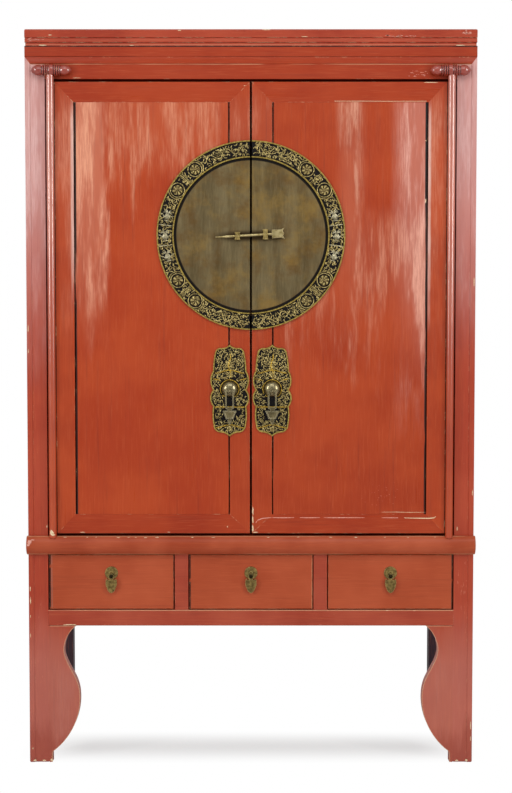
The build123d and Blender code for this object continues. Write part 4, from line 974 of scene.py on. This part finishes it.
# -------------------- drawer pulls
# A round rosette nailed to each drawer, with a cotter eye, and a leaf of cast brass that hangs from
# it, chased with a rim and a midrib. A near-black painted shade fills the hollow round the eye.
LEAF_BRASSES = ((152, 130, 76), (94, 76, 42))
LEAF_POLISH = (214, 194, 130)
HOLLOW_UP, HOLLOW_RADIUS = 0.0095, 0.0074
for name in ("left", "middle", "right"):
    low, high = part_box(f"{name}_drawer_rosette")
    shaded_hollow = ((low.x + high.x) / 2, low.z + HOLLOW_UP, HOLLOW_RADIUS)
    leaf_brass = gilt(
        f"{name}_leaf_brass", *LEAF_BRASSES, shine=0.3, mottle=150, polish=LEAF_POLISH, shaded_hollow=shaded_hollow
    )
    dress(leaf_brass, f"{name}_drawer_rosette", f"{name}_drawer_pull")


# -------------------- knocks and scratches
# Where the lacquer has been knocked off its arrises, the gesso under it shows as cream flakes. Pale
# scuffs lie along the top board, and one long scratch runs over the right door's bottom rail.
def gesso(name, pale, dusty):
    """Chalk ground, dusty and a little uneven."""
    made, tree, place = blank(name)
    speck = cloud(tree, place, 420, 3, 0.7)
    colour = tint(tree, ramp(tree, speck, 0.35, 0.65), paint(*dusty), paint(*pale))
    finish(tree, {"Base Color": colour, "Roughness": 0.85, "Normal": dent(tree, speck, 0.3, 0.0004)})
    return made


def strewn(dice, count, across, up, wide, tall):
    """Chance spots: across and up say how the spots lie and between or about what, in mm."""
    draws = {"evenly": dice.uniform, "about": dice.gauss, "at": float}
    spots = []
    for _ in range(count):
        x = draws[across[0]](*across[1:])
        z = draws[up[0]](*up[1:])
        spots.append((x, z, dice.uniform(*wide), dice.uniform(*tall)))
    return spots


FLAKE_SIDES = 13
FLAKE_SUNK = 0.001
FLAKE_PROUD = 0.0001


def flakes(form, spots, face, seed):
    """Ragged flakes let into a face, flat or a depth(x, z); spots are x, z, width and height in mm."""
    chance = random.Random(seed)
    depth = face if callable(face) else lambda x, z: face
    for x, z, wide, tall in spots:
        rows = [[], [], []]
        for k in range(FLAKE_SIDES):
            angle = 2 * math.pi * k / FLAKE_SIDES + chance.uniform(-0.18, 0.18)
            reach = chance.uniform(0.55, 1.0) / 2000
            for row, share, sunk in zip(rows, (1, 1, 0.5), (FLAKE_SUNK, -FLAKE_PROUD, -FLAKE_PROUD)):
                u = x / 1000 + wide * reach * share * math.cos(angle)
                v = z / 1000 + tall * reach * share * math.sin(angle)
                row.append(form.verts.new((u, depth(u, v) + sunk, v)))
        skin(form, rows)


def wear(name, form, material, body):
    """A finished form of flakes, riding on a body."""
    fit(name, form, material, body, smooth=False)


cream_gesso = gesso("cream_gesso", (240, 222, 186), (222, 186, 142))
pink_scuff = gesso("pink_scuff", (230, 178, 164), (210, 128, 104))
faint_scuff = gesso("faint_scuff", (206, 124, 100), (188, 90, 62))
FRAME_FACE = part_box("front_lower_rail")[0].y
BEAD_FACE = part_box("front_left_post")[0].y
FRIEZE_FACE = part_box("front_head_rail")[0].y
TOP_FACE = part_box("top_frame")[0].y
DOOR_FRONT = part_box("left_door_panel")[0].y

FRAME_KNOCKS = (
    *((-468, 358, 26, 3), (-454, 357.4, 12, 2.4), (-478, 357.2, 10, 2.2), (350, 394.4, 9, 1.8)),
    *((420, 394.4, 7, 1.6), (-522, 612, 3, 9), (528, 606, 3, 12)),
    *((-533, 4, 12, 5), (-514, 5, 10, 8), (531, 4, 10, 5)),
)
BEAD_KNOCKS = (
    *((-566, 452, 3, 16), (-565.5, 420, 3.4, 22), (-566, 380, 2.4, 9), (-566, 330, 2.2, 12), (-557, 5, 9, 6)),
    *((-562, 36, 2.4, 7), (556, 5, 9, 6), (566, 95, 2.4, 26), (566, 62, 2, 14), (566, 700, 2.4, 18)),
    *((-566, 1118, 2.4, 26), (-566, 1060, 2.2, 14), (566, 1236, 2.4, 30)),
)
FRIEZE_KNOCKS = ((-524, 1829.5, 24, 2.6), (528, 1829.4, 30, 2.4), (-300, 1829.2, 16, 1.6))
TOP_KNOCKS = ((-179, 1866.5, 12, 3), (135, 1851, 22, 1.8), (-505, 1855, 10, 2.2), (40, 1868, 26, 2))
frame_form = bmesh.new()
flakes(frame_form, FRAME_KNOCKS, FRAME_FACE, 5)
flakes(frame_form, BEAD_KNOCKS, BEAD_FACE, 9)
flakes(frame_form, FRIEZE_KNOCKS, FRIEZE_FACE, 6)
flakes(frame_form, TOP_KNOCKS, TOP_FACE, 7)
flakes(frame_form, ((-440, 1748.5, 24, 1.6),), FRAME_FACE, 8)
wear("frame_knocks", frame_form, cream_gesso, "carcass")

frame_dice = random.Random(12)
scuffs = strewn(frame_dice, 22, ("evenly", 340, 414), ("about", 1853, 1.2), (4, 16), (1, 2.4))
scuffs += strewn(frame_dice, 18, ("about", 543, 6), ("about", 1861, 2.4), (2, 9), (1, 3))
scuffs += strewn(frame_dice, 12, ("evenly", -566, -520), ("about", 1844, 2), (4, 14), (0.8, 2))
smears = strewn(frame_dice, 16, ("evenly", 398, 446), ("evenly", 1750, 1768), (2, 12), (0.6, 1.8))
scuff_form = bmesh.new()
flakes(scuff_form, scuffs, TOP_FACE, 13)
flakes(scuff_form, smears, FRAME_FACE, 14)
wear("top_scuffs", scuff_form, pink_scuff, "carcass")

scrapes = strewn(frame_dice, 22, ("evenly", 530, 553), ("about", 460, 50), (0.8, 2), (3, 14))
scrapes += strewn(frame_dice, 14, ("evenly", -552, -528), ("about", 300, 90), (0.8, 2), (3, 12))
scrapes += strewn(frame_dice, 12, ("evenly", -552, 552), ("at", 357.6), (4, 14), (0.8, 1.6))
post_form = bmesh.new()
flakes(post_form, scrapes, FRAME_FACE, 15)
wear("post_scrapes", post_form, faint_scuff, "carcass")

waist_low, waist_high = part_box("waist_moulding")
WAIST_ROUND = 0.028
WAIST_KNOCKS = ((-565, 573, 14, 12), (-567, 568, 11, 9), (-563, 577, 12, 6), (-556, 579.5, 12, 3))
WAIST_SPOTS = (-474, -418, -395, -338, -312, -294, -269, -239, -150, -96, 44, 121, 204, 268, 342, 401, 470)
WAIST_EDGE = 585.4


def waist_face(x, z):
    """Depth of the moulding's rounded front."""
    off = z - (waist_low.z + waist_high.z) / 2
    return waist_low.y + WAIST_ROUND - math.sqrt(WAIST_ROUND**2 - off**2) - FLAKE_PROUD


waist_form = bmesh.new()
flakes(waist_form, WAIST_KNOCKS, waist_face, 21)
wear("waist_knocks", waist_form, pink_scuff, "carcass")
edge_spots = []
for x in WAIST_SPOTS:
    z = WAIST_EDGE + frame_dice.uniform(-0.6, 0.6)
    edge_spots.append((x, z, frame_dice.uniform(4, 12), frame_dice.uniform(1.2, 2.2)))
edge_form = bmesh.new()
flakes(edge_form, edge_spots, waist_face, 22)
wear("waist_edge_knocks", edge_form, cream_gesso, "carcass")

rod_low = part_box("left_hinge_stile")[0]
ROD_ROUND = 0.0098
ROD_KNOCKS = ((-507.5, 597.5, 12, 16), (-503, 593, 11, 7), (-508.5, 601, 8, 12), (-506, 596, 12, 13))
LEFT_KNOCKS = (
    *((-16, 1728, 6, 2), (-496, 1734, 3, 6), (-60, 612, 3, 5), (-430, 597.5, 16, 2)),
    (-210, 598, 10, 1.6),
)
RIGHT_KNOCKS = (
    *((5, 652, 4.5, 26), (4.6, 630, 4, 24), (4.8, 607, 5, 22), (12, 597.4, 16, 3)),
    *((452, 1736.4, 46, 2), (441.5, 1440, 3, 15), (441, 1591, 3.4, 3)),
)
SCRATCH_WIDE, SCRATCH_RISE = 0.0022, 0.00012
SCRATCH_RUNS = (
    ((0.012, 0.622), (0.018, 0.629), (0.03, 0.6335), (0.052, 0.6352)),
    ((0.054, 0.6353), (0.08, 0.6349), (0.11, 0.6352)),
    ((0.125, 0.6352), (0.152, 0.6350), (0.176, 0.6353)),
    ((0.186, 0.6352), (0.212, 0.6350), (0.262, 0.6352), (0.29, 0.6350)),
    ((0.334, 0.6350), (0.352, 0.6349), (0.376, 0.6348)),
)
HOOK = ((0.392, 0.6346), (0.43, 0.6336), (0.456, 0.6334), (0.468, 0.6348), (0.472, 0.638))
LOW_LINE = ((0.334, 0.6492), (0.37, 0.6496), (0.41, 0.6486), (0.445, 0.6492))
HIGH_LINE = ((0.21, 1.6898), (0.30, 1.6896), (0.36, 1.6893), (0.442, 1.6896))


def rod_face(x, z):
    """Depth of the left rod's rounded front."""
    off = min(abs(x - rod_low.x - ROD_ROUND), ROD_ROUND * 0.96)
    return rod_low.y + ROD_ROUND - math.sqrt(ROD_ROUND**2 - off**2) - FLAKE_PROUD


def on_the_door(u, v, rise):
    """A point of the doors' front face."""
    return (u, DOOR_FRONT - rise, v)


left_form = bmesh.new()
flakes(left_form, LEFT_KNOCKS, DOOR_FRONT, 31)
flakes(left_form, ROD_KNOCKS, rod_face, 33)
wear("left_door_knocks", left_form, cream_gesso, "left_door")

door_dice = random.Random(44)
speckles = strewn(door_dice, 34, ("about", 332, 22), ("about", 684, 22), (0.8, 3.2), (0.8, 3.4))
speckle_form = bmesh.new()
flakes(speckle_form, speckles, DOOR_FRONT, 45)
wear("right_door_speckles", speckle_form, faint_scuff, "right_door")
scratch_form = bmesh.new()
for run in SCRATCH_RUNS:
    stroke(scratch_form, run, SCRATCH_WIDE, SCRATCH_RISE, on_the_door)
wear("right_door_scratch", scratch_form, pink_scuff, "right_door")
right_form = bmesh.new()
flakes(right_form, RIGHT_KNOCKS, DOOR_FRONT, 31)
stroke(right_form, HOOK, 0.0028, SCRATCH_RISE, on_the_door)
stroke(right_form, LOW_LINE, 0.0011, SCRATCH_RISE, on_the_door)
stroke(right_form, HIGH_LINE, 0.0011, SCRATCH_RISE, on_the_door, square=True)
wear("right_door_knocks", right_form, cream_gesso, "right_door")
